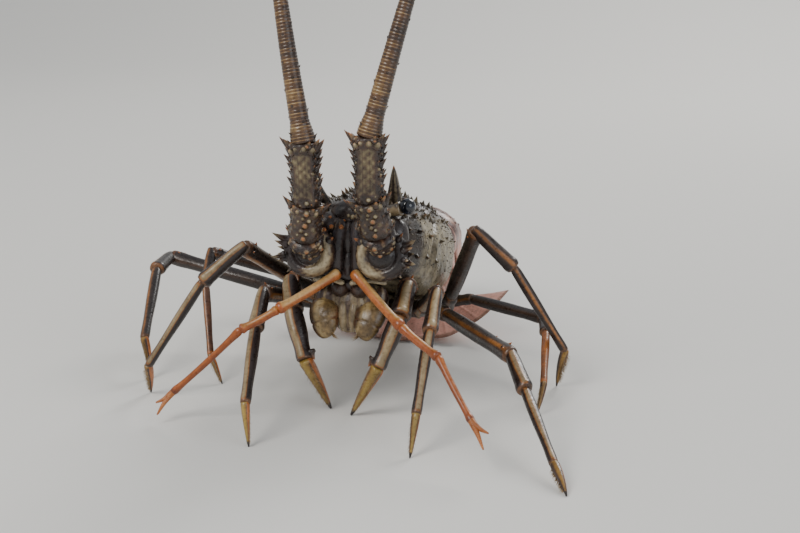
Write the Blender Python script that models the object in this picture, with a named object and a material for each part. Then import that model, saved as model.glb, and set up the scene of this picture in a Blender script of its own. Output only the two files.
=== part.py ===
"""Spiny lobster: a still, life-size museum model, alert on its legs with both antennae raised.

The lobster faces -Y, its left side is +X and up is +Z. Lengths are written in millimetres
and turned into metres where a mesh is made. The trunk is shaped in a body frame (x to the
animal's left, y back along the shell, z up, zero at the front top edge of the carapace),
which BODY_PITCH and FRONT_HEIGHT set over the floor. Limbs run through world points.
"""
import math
import random

import bmesh
import bpy
import numpy as np
from mathutils import Vector

METRES = 0.001
GAP = 0.3
HALF_GAP = GAP / 2

# Trunk
BODY_PITCH = math.radians(10.0)
FRONT_HEIGHT = 104.0
CARAPACE_FRONT = 2.0
# Stations along the carapace: y, half width, top, level of greatest width, underside
CARAPACE_STATIONS = (
    (2, 25.0, -5.0, -21, -41), (8, 27.5, -4.0, -22, -42), (18, 30.0, -3.0, -24, -43.5),
    (30, 32.2, -2.5, -26, -47), (42, 33.2, -3.0, -28, -52), (50, 33.4, -3.5, -30, -54),
    (56, 32.6, -5.4, -31, -54.5), (62, 33.8, -4.4, -31, -55), (74, 34.2, -5.6, -32, -56),
    (88, 33.6, -8.0, -33, -57), (102, 31.6, -11.5, -34, -57.5), (112, 29.5, -15.5, -35, -56.5),
    (118, 28.0, -18.5, -35, -55),
)
CARAPACE_SIDES = 28
UPPER_ROUNDNESS = 2.15
LOWER_ROUNDNESS = 2.5
LOWER_REACH = 6.0

# Spines of the carapace: angle from the top, first y, last y, count, length
SPINE_ROWS = (
    (0, 22, 108, 7, 5.0), (17, 16, 50, 4, 7.0), (17, 66, 110, 5, 5.0),
    (36, 26, 52, 3, 6.5), (36, 64, 108, 6, 5.0), (57, 10, 50, 5, 7.5),
    (57, 70, 108, 5, 4.6), (80, 6, 50, 5, 7.0), (80, 66, 104, 5, 4.4), (103, 12, 40, 3, 6.0),
)
SPINE_SIDES = 5
HORN = ((17.5, 9.0, -9.0), (19.5, -2.0, 2.0), (21.0, -12.5, 13.0))
HORN_SIZES = ((5.6, 3.6), (4.0, 2.6), (0.5, 0.4))

# Head
EYE = (25.5, -3.0, -7.0)
EYE_RADIUS = 3.8
FACE_FRONT = -11.0
BARREL = ((17.0, -6.0, -29.5), (17.6, -19.0, -28.5))
BARREL_RADIUS = 12.6
ANTENNA = {
    1: ((17.3, -10.0, -27.0), (17.0, -24.5, -18.0), (14.2, -31.0, -3.5), (14.0, -36.5, 26.0)),
    -1: ((17.3, -10.0, -30.0), (17.4, -24.5, -21.0), (15.2, -31.0, -6.5), (16.4, -35.8, 22.0)),
}
PEDUNCLE_RADII = (8.6, 7.8, 6.7, 6.2)
FLAGELLUM_LENGTH = 330.0
FLAGELLUM_LOWER = 118.0
FLAGELLUM_RADII = (4.7, 3.3, 0.9)

# Antennules in world points, left and right
ANTENNULES = {
    1: ((3.6, -19.05, 68.7), (32.1, -44.6, 51.3), (51.9, -60.0, 43.5), (71.0, -82.0, 22.5)),
    -1: ((-3.6, -19.0, 68.4), (-28.0, -40.0, 54.8), (-44.0, -46.0, 46.0), (-77.8, -50.0, 13.4)),
}
ANTENNULE_TIPS = {
    1: ((79.5, -90.0, 21.0), (78.0, -94.0, 15.0)),
    -1: ((-85.0, -53.0, 9.0), (-83.0, -57.0, 4.5)),
}

# Limbs: radii of merus, carpus, propodus, dactyl root; lengths of carpus, propodus, dactyl
LEG_RADII = {1: (5.0, 5.2, 4.8, 3.7), 2: (4.0, 3.9, 3.0, 2.2), 3: (3.9, 3.8, 2.5, 2.2),
             4: (3.9, 3.9, 2.7, 2.2), 5: (3.1, 3.0, 2.0, 1.7)}
LEG_LENGTHS = {1: (19, 26, 29), 2: (26, 44, 19.5), 3: (26, 52, 20), 4: (26, 50, 21),
               5: (20, 40, 16)}
# Ends of the coxae in the body frame, on the left
COXAE = {1: (15, 43, -61), 2: (23, 57, -62), 3: (28, 70, -63), 4: (31, 85, -64), 5: (31, 101, -62)}
KNEES = {
    (1, 1): (26, -2, 58), (2, 1): (41.3, -8, 57.5), (3, 1): (79, -16, 31.5), (4, 1): (54.5, 27, 80.5),
    (5, 1): (85.5, 56, 29), (1, -1): (-33.5, 2, 56.5), (2, -1): (-44, -10, 53.5),
    (3, -1): (-53, -12, 76.5), (4, -1): (-124, 76, 45.5), (5, -1): (-90, 47, 57),
}
TOES = {
    (1, 1): (3.5, -27), (2, 1): (42, -74), (3, 1): (115, -103), (4, 1): (95.3, 34.9),
    (5, 1): (90.5, -9), (1, -1): (-8, -20), (2, -1): (-32, -76), (3, -1): (-102, -16),
    (4, -1): (-109, 3), (5, -1): (-71, 3),
}
# Way in which the lower leg bows, where it isn't straight away from the body
BOWS = {(1, 1): (0.4, -0.9, 0.25), (1, -1): (-0.1, -0.9, 0.35), (2, 1): (0.15, -0.6, 0.8),
        (2, -1): (-0.1, -0.6, 0.8), (3, 1): (-0.5, -0.3, 0.75), (4, 1): (0.84, -0.03, -0.54),
        (4, -1): (-0.15, -0.5, 0.8), (5, 1): (0.2, 0.2, 0.85)}
# Share of the lower leg's bend that lies at the wrist; the rest is at the claw
WRIST_SHARE = 0.4
WRIST_SHARES = {(1, 1): 0.55, (1, -1): 0.35, (2, 1): 0.4, (2, -1): 0.2, (3, 1): 0.3, (4, 1): 0.27,
                (5, 1): 0.3}
TOE_RADIUS = 0.7
LEG_SIDES = 8
ISCHIUM = 15.0
ISCHIUM_ARCH = {1: 0.0, 2: 0.0, 3: 1.0, 4: -1.0, 5: 3.5}

# Tail: lengths and directions (degrees from straight back) of the six segments
TAIL_START = (110.4, 48.6)
TAIL_LENGTHS = (12, 14, 13, 13, 13, 15)
TAIL_ANGLES = (5, -2, -20, -52, -98, -155)
TAIL_HALF_WIDTHS = (27, 28.5, 28, 27, 25.5, 22.5, 18)
TAIL_ABOVE = (16, 17.5, 18, 18, 17.5, 15.5, 10)
TAIL_BELOW = (17, 13, 11, 10, 9, 8, 6.5)
FAN_ANGLE = -165.0
FAN_LENGTH = 50.0
FAN_THICKNESS = 1.3
FAN_GAP = 0.27
# Length of the downward points at the sides of the first five segments
TAIL_POINTS = (13, 13, 13, 10.5, 8.5)
# Length of the leaf-shaped swimmerets under the second to fifth segments
SWIMMERETS = {1: 10.0, 2: 9.5, 3: 5.0, 4: 3.5}

COLOURS = {
    "shell_grey": ((0.17, 0.13, 0.12, 1), 0.38),
    "shell_dark": ((0.045, 0.03, 0.03, 1), 0.33),
    "leg_dark": ((0.07, 0.04, 0.035, 1), 0.32),
    "claw_ochre": ((0.32, 0.17, 0.05, 1), 0.35),
    "feeler_orange": ((0.42, 0.13, 0.05, 1), 0.36),
    "antenna_brown": ((0.30, 0.14, 0.06, 1), 0.36),
    "tail_rose": ((0.36, 0.19, 0.16, 1), 0.4),
    "eye_black": ((0.01, 0.012, 0.02, 1), 0.08),
}


def clear_scene():
    for item in list(bpy.data.objects):
        bpy.data.objects.remove(item)


def make_material(slot):
    colour, roughness = COLOURS[slot]
    material = bpy.data.materials.get(slot) or bpy.data.materials.new(slot)
    material.use_nodes = True
    shader = material.node_tree.nodes["Principled BSDF"]
    shader.inputs["Base Color"].default_value = colour
    shader.inputs["Roughness"].default_value = roughness
    shader.inputs["Metallic"].default_value = 0.0
    material.diffuse_color = colour
    return material


def unit(vector):
    return np.asarray(vector, float) / np.linalg.norm(vector)


def body_point(point):
    """A point of the body frame, in world millimetres."""
    x, y, z = point
    return np.array([
        x,
        y * math.cos(BODY_PITCH) + z * math.sin(BODY_PITCH),
        -y * math.sin(BODY_PITCH) + z * math.cos(BODY_PITCH) + FRONT_HEIGHT,
    ])


def body_direction(vector):
    return body_point(vector) - body_point((0, 0, 0))


def loft_mesh(name, rings):
    """A closed mesh of like rings of points in millimetres, capped with flat polygons."""
    rings = [np.asarray(ring, float) for ring in rings]
    count = len(rings[0])
    vertices = np.concatenate(rings) * METRES
    faces = []
    for row in range(len(rings) - 1):
        low = row * count
        for k in range(count):
            after = (k + 1) % count
            faces.append((low + k, low + after, low + count + after, low + count + k))
    faces.append(tuple(range(count - 1, -1, -1)))
    last = (len(rings) - 1) * count
    faces.append(tuple(range(last, last + count)))
    mesh = bpy.data.meshes.new(name)
    mesh.from_pydata(vertices.tolist(), [], faces)
    face_outward(mesh)
    return mesh


def face_outward(mesh):
    work = bmesh.new()
    work.from_mesh(mesh)
    bmesh.ops.recalc_face_normals(work, faces=work.faces)
    if work.calc_volume(signed=True) < 0:
        bmesh.ops.reverse_faces(work, faces=work.faces)
    work.to_mesh(mesh)
    work.free()


def add_object(name, mesh, slot, collection):
    item = bpy.data.objects.new(name, mesh)
    collection.objects.link(item)
    mesh.materials.clear()
    mesh.materials.append(make_material(slot))
    return item


def keep_largest_surface(mesh):
    """Leave only the closed surface with the most area."""
    work = bmesh.new()
    work.from_mesh(mesh)
    work.faces.ensure_lookup_table()
    seen = set()
    groups = []
    for face in work.faces:
        if face.index in seen:
            continue
        stack = [face]
        seen.add(face.index)
        group = []
        while stack:
            current = stack.pop()
            group.append(current)
            for edge in current.edges:
                for other in edge.link_faces:
                    if other.index not in seen:
                        seen.add(other.index)
                        stack.append(other)
        groups.append(group)
    groups.sort(key=lambda group: sum(face.calc_area() for face in group), reverse=True)
    spare = [face for group in groups[1:] for face in group]
    if spare:
        bmesh.ops.delete(work, geom=spare, context='FACES')
    work.to_mesh(mesh)
    work.free()


def fuse(item, pieces, solver='EXACT'):
    """Join closed meshes onto an object with one Boolean union, and apply it."""
    if not pieces:
        return item
    group = bpy.data.collections.new(item.name + "_pieces")
    bpy.context.scene.collection.children.link(group)
    for index, mesh in enumerate(pieces):
        group.objects.link(bpy.data.objects.new(f"{item.name}_piece_{index}", mesh))
    union = item.modifiers.new("union", 'BOOLEAN')
    union.operation = 'UNION'
    union.operand_type = 'COLLECTION'
    union.collection = group
    union.solver = solver
    depsgraph = bpy.context.evaluated_depsgraph_get()
    fused = bpy.data.meshes.new_from_object(item.evaluated_get(depsgraph))
    item.modifiers.clear()
    item.data = fused
    for piece in list(group.objects):
        bpy.data.objects.remove(piece)
    bpy.data.collections.remove(group)
    keep_largest_surface(fused)
    return item


def frame_across(direction, upward=(0, 0, 1)):
    """Two unit vectors across a direction: sideways and upward."""
    direction = unit(direction)
    side = np.cross(direction, upward)
    if np.linalg.norm(side) < 1e-6:
        side = np.cross(direction, (1, 0, 0))
    side = unit(side)
    return side, np.cross(side, direction)


def section(centre, direction, half_width, half_height, sides, upward=(0, 0, 1)):
    """An elliptical ring of points across a direction."""
    side, up = frame_across(direction, upward)
    turn = 2 * math.pi * (np.arange(sides) + 0.5) / sides
    return (np.asarray(centre, float) + np.outer(np.cos(turn) * half_width, side)
            + np.outer(np.sin(turn) * half_height, up))


def slide_onto(ring, direction, origin, normal):
    """Move a ring's points along a direction onto a plane."""
    direction = unit(direction)
    normal = unit(normal)
    shift = ((np.asarray(origin) - ring) @ normal) / (direction @ normal)
    return ring + shift[:, None] * direction


def mitre(before, joint, after):
    """Normal of the plane that halves the bend at a joint."""
    return unit(unit(joint - before) + unit(after - joint))


def limb_rings(start, end, sizes, sides, upward, start_normal=None, end_normal=None,
               start_gap=0.0, end_gap=0.0):
    """Rings of one straight limb segment; sizes holds (share of length, half width, half height)."""
    start = np.asarray(start, float)
    end = np.asarray(end, float)
    along = unit(end - start)
    rings = [section(start + (end - start) * share, along, wide, high, sides, upward)
             for share, wide, high in sizes]
    if start_normal is not None:
        plane = start + unit(start_normal) * start_gap
        rings[0] = slide_onto(rings[0], along, plane, start_normal)
    if end_normal is not None:
        plane = end - unit(end_normal) * end_gap
        rings[-1] = slide_onto(rings[-1], along, plane, end_normal)
    return rings


def spine_mesh(root, direction, length, radius, sides=SPINE_SIDES, sunk=2.2):
    """A sharp cone whose root is sunk below the surface it grows from."""
    direction = Vector(unit(direction))
    start = Vector(np.asarray(root, float)) - direction * sunk
    whole = length + sunk
    work = bmesh.new()
    bmesh.ops.create_cone(work, cap_ends=True, segments=sides, radius1=radius * whole / length,
                          radius2=0.12, depth=whole)
    turn = direction.to_track_quat('Z', 'Y').to_matrix().to_4x4()
    for vertex in work.verts:
        vertex.co = (turn @ (vertex.co + Vector((0, 0, whole / 2))) + start) * METRES
    mesh = bpy.data.meshes.new("spine")
    work.to_mesh(mesh)
    work.free()
    return mesh


def power_wave(value, roundness):
    return np.sign(value) * np.abs(value) ** (2 / roundness)


def station_at(stations, place):
    table = np.array(stations, float)
    return [float(np.interp(place, table[:, 0], table[:, k])) for k in range(1, table.shape[1])]


def shell_section(place, turn):
    """Points of the carapace outline at one y in the body frame; turn is measured from +X."""
    wide, top, middle, bottom = station_at(CARAPACE_STATIONS, place)
    cosine = np.cos(turn)
    sine = np.sin(turn)
    upper = sine >= 0
    x = wide * np.where(upper, power_wave(cosine, UPPER_ROUNDNESS),
                        power_wave(cosine, LOWER_ROUNDNESS))
    z_up = middle + (top - middle) * power_wave(sine, UPPER_ROUNDNESS)
    z_down = middle + (middle - bottom + LOWER_REACH) * power_wave(sine, LOWER_ROUNDNESS)
    z = np.where(upper, z_up, np.maximum(z_down, bottom))
    return np.stack([x, np.full_like(x, place), z], 1)


def shell_point(place, degrees, side):
    """A point on the carapace and the outward direction there, in world millimetres."""
    turn = math.radians(90 - side * degrees)
    step = 0.02
    ring = shell_section(place, np.array([turn - step, turn, turn + step]))
    ahead = shell_section(place - 1.0, np.array([turn]))[0]
    along = ring[1] - ahead
    around = ring[2] - ring[0]
    outward = unit(np.cross(along, around))
    if outward[2] * math.sin(turn) + outward[0] * math.cos(turn) < 0:
        outward = -outward
    return body_point(ring[1]), body_direction(outward)


def carapace_rings():
    turn = 2 * math.pi * (np.arange(CARAPACE_SIDES) + 0.5) / CARAPACE_SIDES
    return [np.array([body_point(p) for p in shell_section(row[0], turn)])
            for row in CARAPACE_STATIONS]


def carapace_spines():
    draw = random.Random(7)
    forward = body_direction((0, -1, 0))
    spines = []
    for degrees, first, last, count, length in SPINE_ROWS:
        for side in ((1, -1) if degrees else (1,)):
            for index in range(count):
                place = first + (last - first) * index / (count - 1) + draw.uniform(-1.5, 1.5)
                angle = degrees + draw.uniform(-2.5, 2.5)
                root, outward = shell_point(place, angle, side)
                aim = unit(outward * 0.75 + forward * 0.9)
                size = length * draw.uniform(0.85, 1.15)
                spines.append(spine_mesh(root, aim, size, 0.27 * size + 0.3))
    return spines


def horn_mesh(side):
    points = [body_point((side * x, y, z)) for x, y, z in HORN]
    rings = []
    for index, (wide, high) in enumerate(HORN_SIZES):
        before = points[max(index - 1, 0)]
        after = points[min(index + 1, 2)]
        rings.append(section(points[index], after - before, wide, high, 8))
    return loft_mesh("horn", rings)


def build_carapace(collection):
    item = add_object("carapace", loft_mesh("carapace", carapace_rings()), "shell_grey", collection)
    rostrum = spine_mesh(body_point((0, 4, -2.5)), body_direction((0, -1, 0.25)), 5.5, 2.2)
    fuse(item, carapace_spines() + [horn_mesh(1), horn_mesh(-1), rostrum])


def coxa_base(leg, side):
    x, y, z = COXAE[leg]
    return body_point((side * x, y, z))


def coxa_root(leg, side):
    x, y, z = COXAE[leg]
    return body_point((side * x * 0.3, y + 1.5, z))


def ischium_end(leg, side):
    base = coxa_base(leg, side)
    knee = np.array(KNEES[(leg, side)], float)
    return base + unit(knee - base) * ISCHIUM + np.array([0, 0, ISCHIUM_ARCH[leg]])


def coxa_plane(leg, side):
    return mitre(coxa_root(leg, side), coxa_base(leg, side), ischium_end(leg, side))


def build_sternum(collection):
    """The breast plate below the carapace, with a stub for each leg."""
    rows = ((26, 6.5, -56), (30, 7.5, -58), (42, 10.5, -64), (50, 12.5, -66), (56, 14.0, -67),
            (62, 15.5, -67.5), (74, 17.5, -68), (88, 19.0, -68.5), (102, 20.0, -67), (112, 16.0, -63))
    rings = []
    for y, wide, bottom in rows:
        top = station_at(CARAPACE_STATIONS, y)[3] - GAP - 0.05
        outline = ((1, 0), (1, 0.45), (0.6, 1), (-0.6, 1), (-1, 0.45), (-1, 0))
        rings.append([body_point((x * wide, y, top + (bottom - top) * drop)) for x, drop in outline])
    item = add_object("sternum", loft_mesh("sternum", rings), "leg_dark", collection)
    stubs = []
    for leg in COXAE:
        radius = LEG_RADII[leg][0] * 1.08
        for side in (1, -1):
            sizes = ((0, radius * 0.8, radius * 0.8), (0.45, radius, radius), (1, radius, radius))
            stubs.append(loft_mesh("coxa", limb_rings(
                coxa_root(leg, side), coxa_base(leg, side), sizes, LEG_SIDES, (0, 0, 1),
                end_normal=coxa_plane(leg, side), end_gap=HALF_GAP)))
    fuse(item, stubs)


def bend_chain(knee, toe, lengths, outward, wrist_share):
    """Joints of carpus, propodus and dactyl between knee and toe, bowed outward evenly."""
    def chain(bend):
        angles = (0.0, -wrist_share * bend, -bend)
        flat = [np.zeros(2)]
        for length, angle in zip(lengths, angles):
            flat.append(flat[-1] + length * np.array([math.cos(angle), math.sin(angle)]))
        return flat
    reach = np.linalg.norm(toe - knee)
    low = 0.0
    high = math.radians(170)
    for _ in range(50):
        middle = (low + high) / 2
        if np.linalg.norm(chain(middle)[-1]) > reach:
            low = middle
        else:
            high = middle
    flat = chain(low)
    tilt = math.atan2(flat[-1][1], flat[-1][0])
    along = unit(toe - knee)
    normal = unit(outward - along * (outward @ along))
    joints = []
    for x, y in flat:
        joints.append(knee + along * (x * math.cos(tilt) + y * math.sin(tilt))
                      + normal * (y * math.cos(tilt) - x * math.sin(tilt)))
    return joints


def bend_reach(before, joint, after, radius):
    """How far a mitred end of this radius reaches back from the joint."""
    cosine = unit(joint - before) @ unit(after - joint)
    return radius * math.tan(math.acos(cosine) / 2)


def leg_joints(leg, side):
    """Base, ischium end, knee, carpus end, propodus end and toe of one leg."""
    base = coxa_base(leg, side)
    knee = np.array(KNEES[(leg, side)], float)
    toe = np.array((*TOES[(leg, side)], 0.0))
    bow = np.array(BOWS.get((leg, side), knee - base), float)
    share = WRIST_SHARES.get((leg, side), WRIST_SHARE)
    lower = bend_chain(knee, toe, LEG_LENGTHS[leg], bow, share)
    return [base, ischium_end(leg, side)] + lower


def scaled(profile, radius, flat=0.88):
    return [(share, radius * size, radius * size * flat) for share, size in profile]


def build_leg(leg, side, collection):
    word = "left" if side > 0 else "right"
    base, ischium, knee, carpus, propodus, toe = leg_joints(leg, side)
    merus_r, carpus_r, propodus_r, dactyl_r = LEG_RADII[leg]
    knee_plane = mitre(ischium, knee, carpus)
    wrist_plane = mitre(knee, carpus, propodus)
    claw_plane = mitre(carpus, propodus, toe)
    across = unit(np.cross(knee - base, toe - knee))
    outside = np.cross(across, unit(knee - ischium))
    waist = mitre(base, ischium, knee)
    knee_turn = bend_reach(ischium, knee, carpus, merus_r)

    rings = limb_rings(base, ischium, scaled(((0, 1.08), (0.7, 0.95)), merus_r), LEG_SIDES, across,
                       start_normal=coxa_plane(leg, side), start_gap=HALF_GAP)
    last = 1 - (knee_turn + 1.5) / np.linalg.norm(knee - ischium)
    rings += limb_rings(ischium, knee, scaled(((0, 0.86), (0.08, 0.98), (0.5, 1.05), (last, 1.0),
                                               (0.95, 0.96)), merus_r), LEG_SIDES, across,
                        start_normal=waist, end_normal=knee_plane, end_gap=HALF_GAP)
    upper = add_object(f"leg_{word}_{leg}_upper", loft_mesh("upper", rings), "leg_dark", collection)
    spur_root = knee - unit(knee - ischium) * (knee_turn + 2.5) + outside * merus_r * 0.8
    fuse(upper, [spine_mesh(spur_root, unit(knee - ischium) * 0.8 + outside, 3.4, 1.3)])

    first = (knee_turn + 1.0) / np.linalg.norm(carpus - knee)
    rings = limb_rings(knee, carpus, scaled(((0, 0.9), (first, 0.84), (0.6, 1.0), (0.85, 1.06)),
                                            carpus_r), LEG_SIDES, across,
                       start_normal=knee_plane, start_gap=HALF_GAP)
    rings.append(slide_onto(section(carpus, carpus - knee, propodus_r * 0.86, propodus_r * 0.8,
                                    LEG_SIDES, across), carpus - knee, carpus, wrist_plane))
    rings += limb_rings(carpus, propodus, scaled(((0.08, 1.02), (0.3, 1.05), (0.7, 0.9),
                                                  (0.92, 0.86)), propodus_r), LEG_SIDES, across,
                        end_normal=claw_plane, end_gap=HALF_GAP)
    add_object(f"leg_{word}_{leg}_lower", loft_mesh("lower", rings), "leg_dark", collection)

    sizes = [(0, 1.0), (0.2, 0.95), (0.5, 0.72), (0.8, 0.42)]
    rings = limb_rings(propodus, toe, scaled(sizes, dactyl_r), LEG_SIDES, across,
                       start_normal=claw_plane, start_gap=HALF_GAP)
    turn = 2 * math.pi * (np.arange(LEG_SIDES) + 0.5) / LEG_SIDES
    side_way, up_way = frame_across(toe - propodus, across)
    flat_ring = toe + TOE_RADIUS * (np.outer(np.cos(turn), side_way) + np.outer(np.sin(turn), up_way))
    flat_ring = slide_onto(flat_ring, toe - propodus, toe, (0, 0, 1))
    flat_ring = toe + (flat_ring - toe) * TOE_RADIUS / np.linalg.norm(flat_ring - toe, axis=1)[:, None]
    rings.append(flat_ring)
    add_object(f"leg_{word}_{leg}_claw", loft_mesh("claw", rings), "claw_ochre", collection)


def build_face(collection):
    """The plate between eyes and mouth, with the two great basal joints of the antennae."""
    back = CARAPACE_FRONT - GAP
    rows = ((back, 22, -12, -41), (-4, 21, -13, -42), (FACE_FRONT, 14, -17, -43))
    outline = ((1, 0.15), (1, 0.8), (0.7, 1), (-0.7, 1), (-1, 0.8), (-1, 0.15), (-0.6, 0), (0.6, 0))
    rings = []
    for y, wide, top, bottom in rows:
        rings.append([body_point((x * wide, y, top + (bottom - top) * drop)) for x, drop in outline])
    item = add_object("face", loft_mesh("face", rings), "shell_dark", collection)
    pieces = []
    for side in (1, -1):
        start = body_point((side * BARREL[0][0], *BARREL[0][1:]))
        end = body_point((side * BARREL[1][0], *BARREL[1][1:]))
        sizes = ((0, 0.8), (0.3, 0.98), (0.8, 1.0), (1.0, 0.86))
        pieces.append(loft_mesh("barrel", limb_rings(start, end, [
            (share, BARREL_RADIUS * size, BARREL_RADIUS * size) for share, size in sizes],
            14, (0, 0, 1))))
        points = antenna_points(side)
        pieces.append(loft_mesh("neck", limb_rings(
            points[0], points[1], ((0, 5.0, 5.0), (0.35, 7.0, 7.0), (1, 7.6, 7.6)), 10, (0, 0, 1),
            end_normal=mitre(points[0], points[1], points[2]), end_gap=HALF_GAP)))
        for angle, length in ((15, 4.5), (-20, 3.5), (150, 3.5)):
            turn = math.radians(angle)
            out = body_direction((side * math.cos(turn), -0.2, math.sin(turn)))
            root = start + (end - start) * 0.75 + out * BARREL_RADIUS * 0.92
            pieces.append(spine_mesh(root, out + body_direction((0, -0.7, 0)), length, 1.5))
    mouth = [[body_point((x * wide, y, z)) for x, z in ((1, top), (1, low), (-1, low), (-1, top))]
             for y, wide, top, low in ((16, 8, -44.2, -52), (1.5, 9, -41.8, -51), (-8, 9, -38, -49))]
    pieces.append(loft_mesh("mouth", mouth))
    fuse(item, pieces)


def build_eye(side, collection):
    word = "left" if side > 0 else "right"
    root = body_point((side * 14.0, -1.0, -10.0))
    centre = body_point((side * EYE[0], EYE[1], EYE[2]))
    stalk = loft_mesh("stalk", limb_rings(root, centre, ((0, 2.6, 2.6), (0.5, 3.0, 3.0),
                                                         (0.85, 3.2, 3.2)), 10, (0, 0, 1)))
    item = add_object(f"eye_{word}", stalk, "eye_black", collection)
    ball = bmesh.new()
    bmesh.ops.create_uvsphere(ball, u_segments=16, v_segments=10, radius=EYE_RADIUS * METRES)
    for vertex in ball.verts:
        vertex.co += Vector(centre) * METRES
    mesh = bpy.data.meshes.new("ball")
    ball.to_mesh(mesh)
    ball.free()
    fuse(item, [mesh])


def antenna_points(side):
    return [body_point((side * x, y, z)) for x, y, z in ANTENNA[side]]


def flagellum_path(side, count=26):
    """Points from the root of a flagellum to its tip: up and outward, bowing gently back."""
    points = antenna_points(side)
    root = points[3]
    lean = 0.245 if side > 0 else -0.205
    share = np.linspace(0, 1, count)
    travel = FLAGELLUM_LENGTH * share
    back = 0.13 * travel + 0.00085 * travel ** 2
    across = lean * travel - math.copysign(0.00012, lean) * travel ** 2
    path = np.stack([root[0] + across, root[1] + back, root[2] + travel * 0.96
                     - 0.00035 * travel ** 2], 1)
    return path


def path_tube(points, radii, sides=8):
    """A closed tube of rings along a smooth path."""
    rings = []
    for index, point in enumerate(points):
        before = points[max(index - 1, 0)]
        after = points[min(index + 1, len(points) - 1)]
        rings.append(section(point, after - before, radii[index], radii[index], sides, (0, -1, 0.1)))
    return rings


def build_antenna(side, collection):
    word = "left" if side > 0 else "right"
    points = antenna_points(side)
    radii = PEDUNCLE_RADII
    for index, name in ((1, "middle"), (2, "last")):
        start = points[index]
        end = points[index + 1]
        start_r = radii[index]
        end_r = radii[index + 1]
        start_normal = mitre(points[index - 1], start, end)
        after = points[3] if index == 1 else flagellum_path(side)[1]
        end_normal = mitre(start, end, after)
        low = bend_reach(points[index - 1], start, end, start_r) + 1.0
        sizes = ((0, start_r * 0.92, start_r * 0.92),
                 (low / np.linalg.norm(end - start), start_r, start_r),
                 (0.8, end_r * 1.04, end_r * 1.04), (1, end_r * 0.95, end_r * 0.95))
        rings = limb_rings(start, end, sizes, 10, (0, -1, 0), start_normal=start_normal,
                           end_normal=end_normal, start_gap=HALF_GAP, end_gap=HALF_GAP)
        item = add_object(f"antenna_{word}_{name}", loft_mesh(name, rings), "shell_dark", collection)
        spines = []
        along = unit(end - start)
        across, up = frame_across(along, (0, -1, 0))
        for step in range(7):
            turn = 2 * math.pi * (step * 0.381 + 0.1)
            out = across * math.cos(turn) + up * math.sin(turn)
            share = 0.22 + 0.6 * step / 6
            radius = start_r + (end_r - start_r) * share
            spines.append(spine_mesh(start + (end - start) * share + out * radius * 0.93,
                                     out + along * 0.9, 4.2, 1.35))
        fuse(item, spines)


def build_flagellum(side, collection):
    word = "left" if side > 0 else "right"
    path = flagellum_path(side)
    lengths = np.concatenate([[0], np.cumsum(np.linalg.norm(np.diff(path, axis=0), axis=1))])
    radii = np.interp(lengths, (0, 70, lengths[-1]), FLAGELLUM_RADII)
    start_normal = mitre(antenna_points(side)[2], path[0], path[1])
    cut = int(np.searchsorted(lengths, FLAGELLUM_LOWER))
    for name, low, high in (("lower", 0, cut), ("upper", cut, len(path) - 1)):
        points = path[low:high + 1].copy()
        rings = path_tube(points, radii[low:high + 1])
        if low == 0:
            rings[0] = slide_onto(rings[0], points[1] - points[0],
                                  points[0] + start_normal * HALF_GAP, start_normal)
            rings[0] = points[0] + (rings[0] - points[0]) * 1.02
            cut_normal = unit(path[cut + 1] - path[cut - 1])
            rings[-1] = slide_onto(rings[-1], cut_normal, path[cut] - cut_normal * HALF_GAP, cut_normal)
        else:
            cut_normal = unit(path[cut + 1] - path[cut - 1])
            rings[0] = section(path[cut], cut_normal, radii[cut], radii[cut], 8, (0, -1, 0.1))
            rings[0] = slide_onto(rings[0], cut_normal, path[cut] + cut_normal * HALF_GAP, cut_normal)
        add_object(f"antenna_{word}_whip_{name}", loft_mesh(name, rings), "antenna_brown", collection)


def build_antennule(side, collection):
    word = "left" if side > 0 else "right"
    points = [np.array(p, float) for p in ANTENNULES[side]]
    rings = []
    radii = ((2.6, 2.3), (2.2, 2.0), (1.9, 1.5))
    for index, (root_r, end_r) in enumerate(radii):
        start = points[index]
        end = points[index + 1]
        sizes = ((0.03, root_r * 0.8, root_r * 0.8), (0.12, root_r, root_r),
                 (0.85, end_r, end_r), (0.95, end_r * 1.15, end_r * 1.15))
        rings += limb_rings(start, end, sizes, 8, (0, 0, 1))
    tips = [np.array(p, float) for p in ANTENNULE_TIPS[side]]
    fork = points[3]
    rings.append(section(fork, tips[0] - points[2], 1.5, 1.5, 8))
    rings.append(section(tips[0], tips[0] - fork, 0.45, 0.45, 8))
    item = add_object(f"antennule_{word}", loft_mesh("antennule", rings), "feeler_orange", collection)
    branch = limb_rings(fork - unit(fork - points[2]) * 4, tips[1],
                        ((0, 0.9, 0.9), (0.35, 1.1, 1.1), (1, 0.45, 0.45)), 8, (0, 0, 1))
    fuse(item, [loft_mesh("branch", branch)])


def build_maxilliped(side, collection):
    word = "left" if side > 0 else "right"
    points = [body_point((side * x, y, z)) for x, y, z in
              ((10.0, 2, -54.8), (11.5, -6, -57.6), (8.6, -10, -66.6), (3.8, -8, -72.0))]
    sizes = ((3.6, 4.2), (4.4, 4.8), (3.8, 4.2), (1.6, 1.8))
    rings = []
    for index, point in enumerate(points):
        before = points[max(index - 1, 0)]
        after = points[min(index + 1, 3)]
        rings.append(section(point, after - before, *sizes[index], 8))
    add_object(f"jaw_foot_{word}", loft_mesh("jaw_foot", rings), "shell_dark", collection)


def tail_hinges():
    points = [np.array([0.0, *TAIL_START])]
    for length, degrees in zip(TAIL_LENGTHS, TAIL_ANGLES):
        turn = math.radians(degrees)
        points.append(points[-1] + length * np.array([0, math.cos(turn), math.sin(turn)]))
    return points


def angle_way(degrees):
    turn = math.radians(degrees)
    return np.array([0, math.cos(turn), math.sin(turn)])


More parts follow.
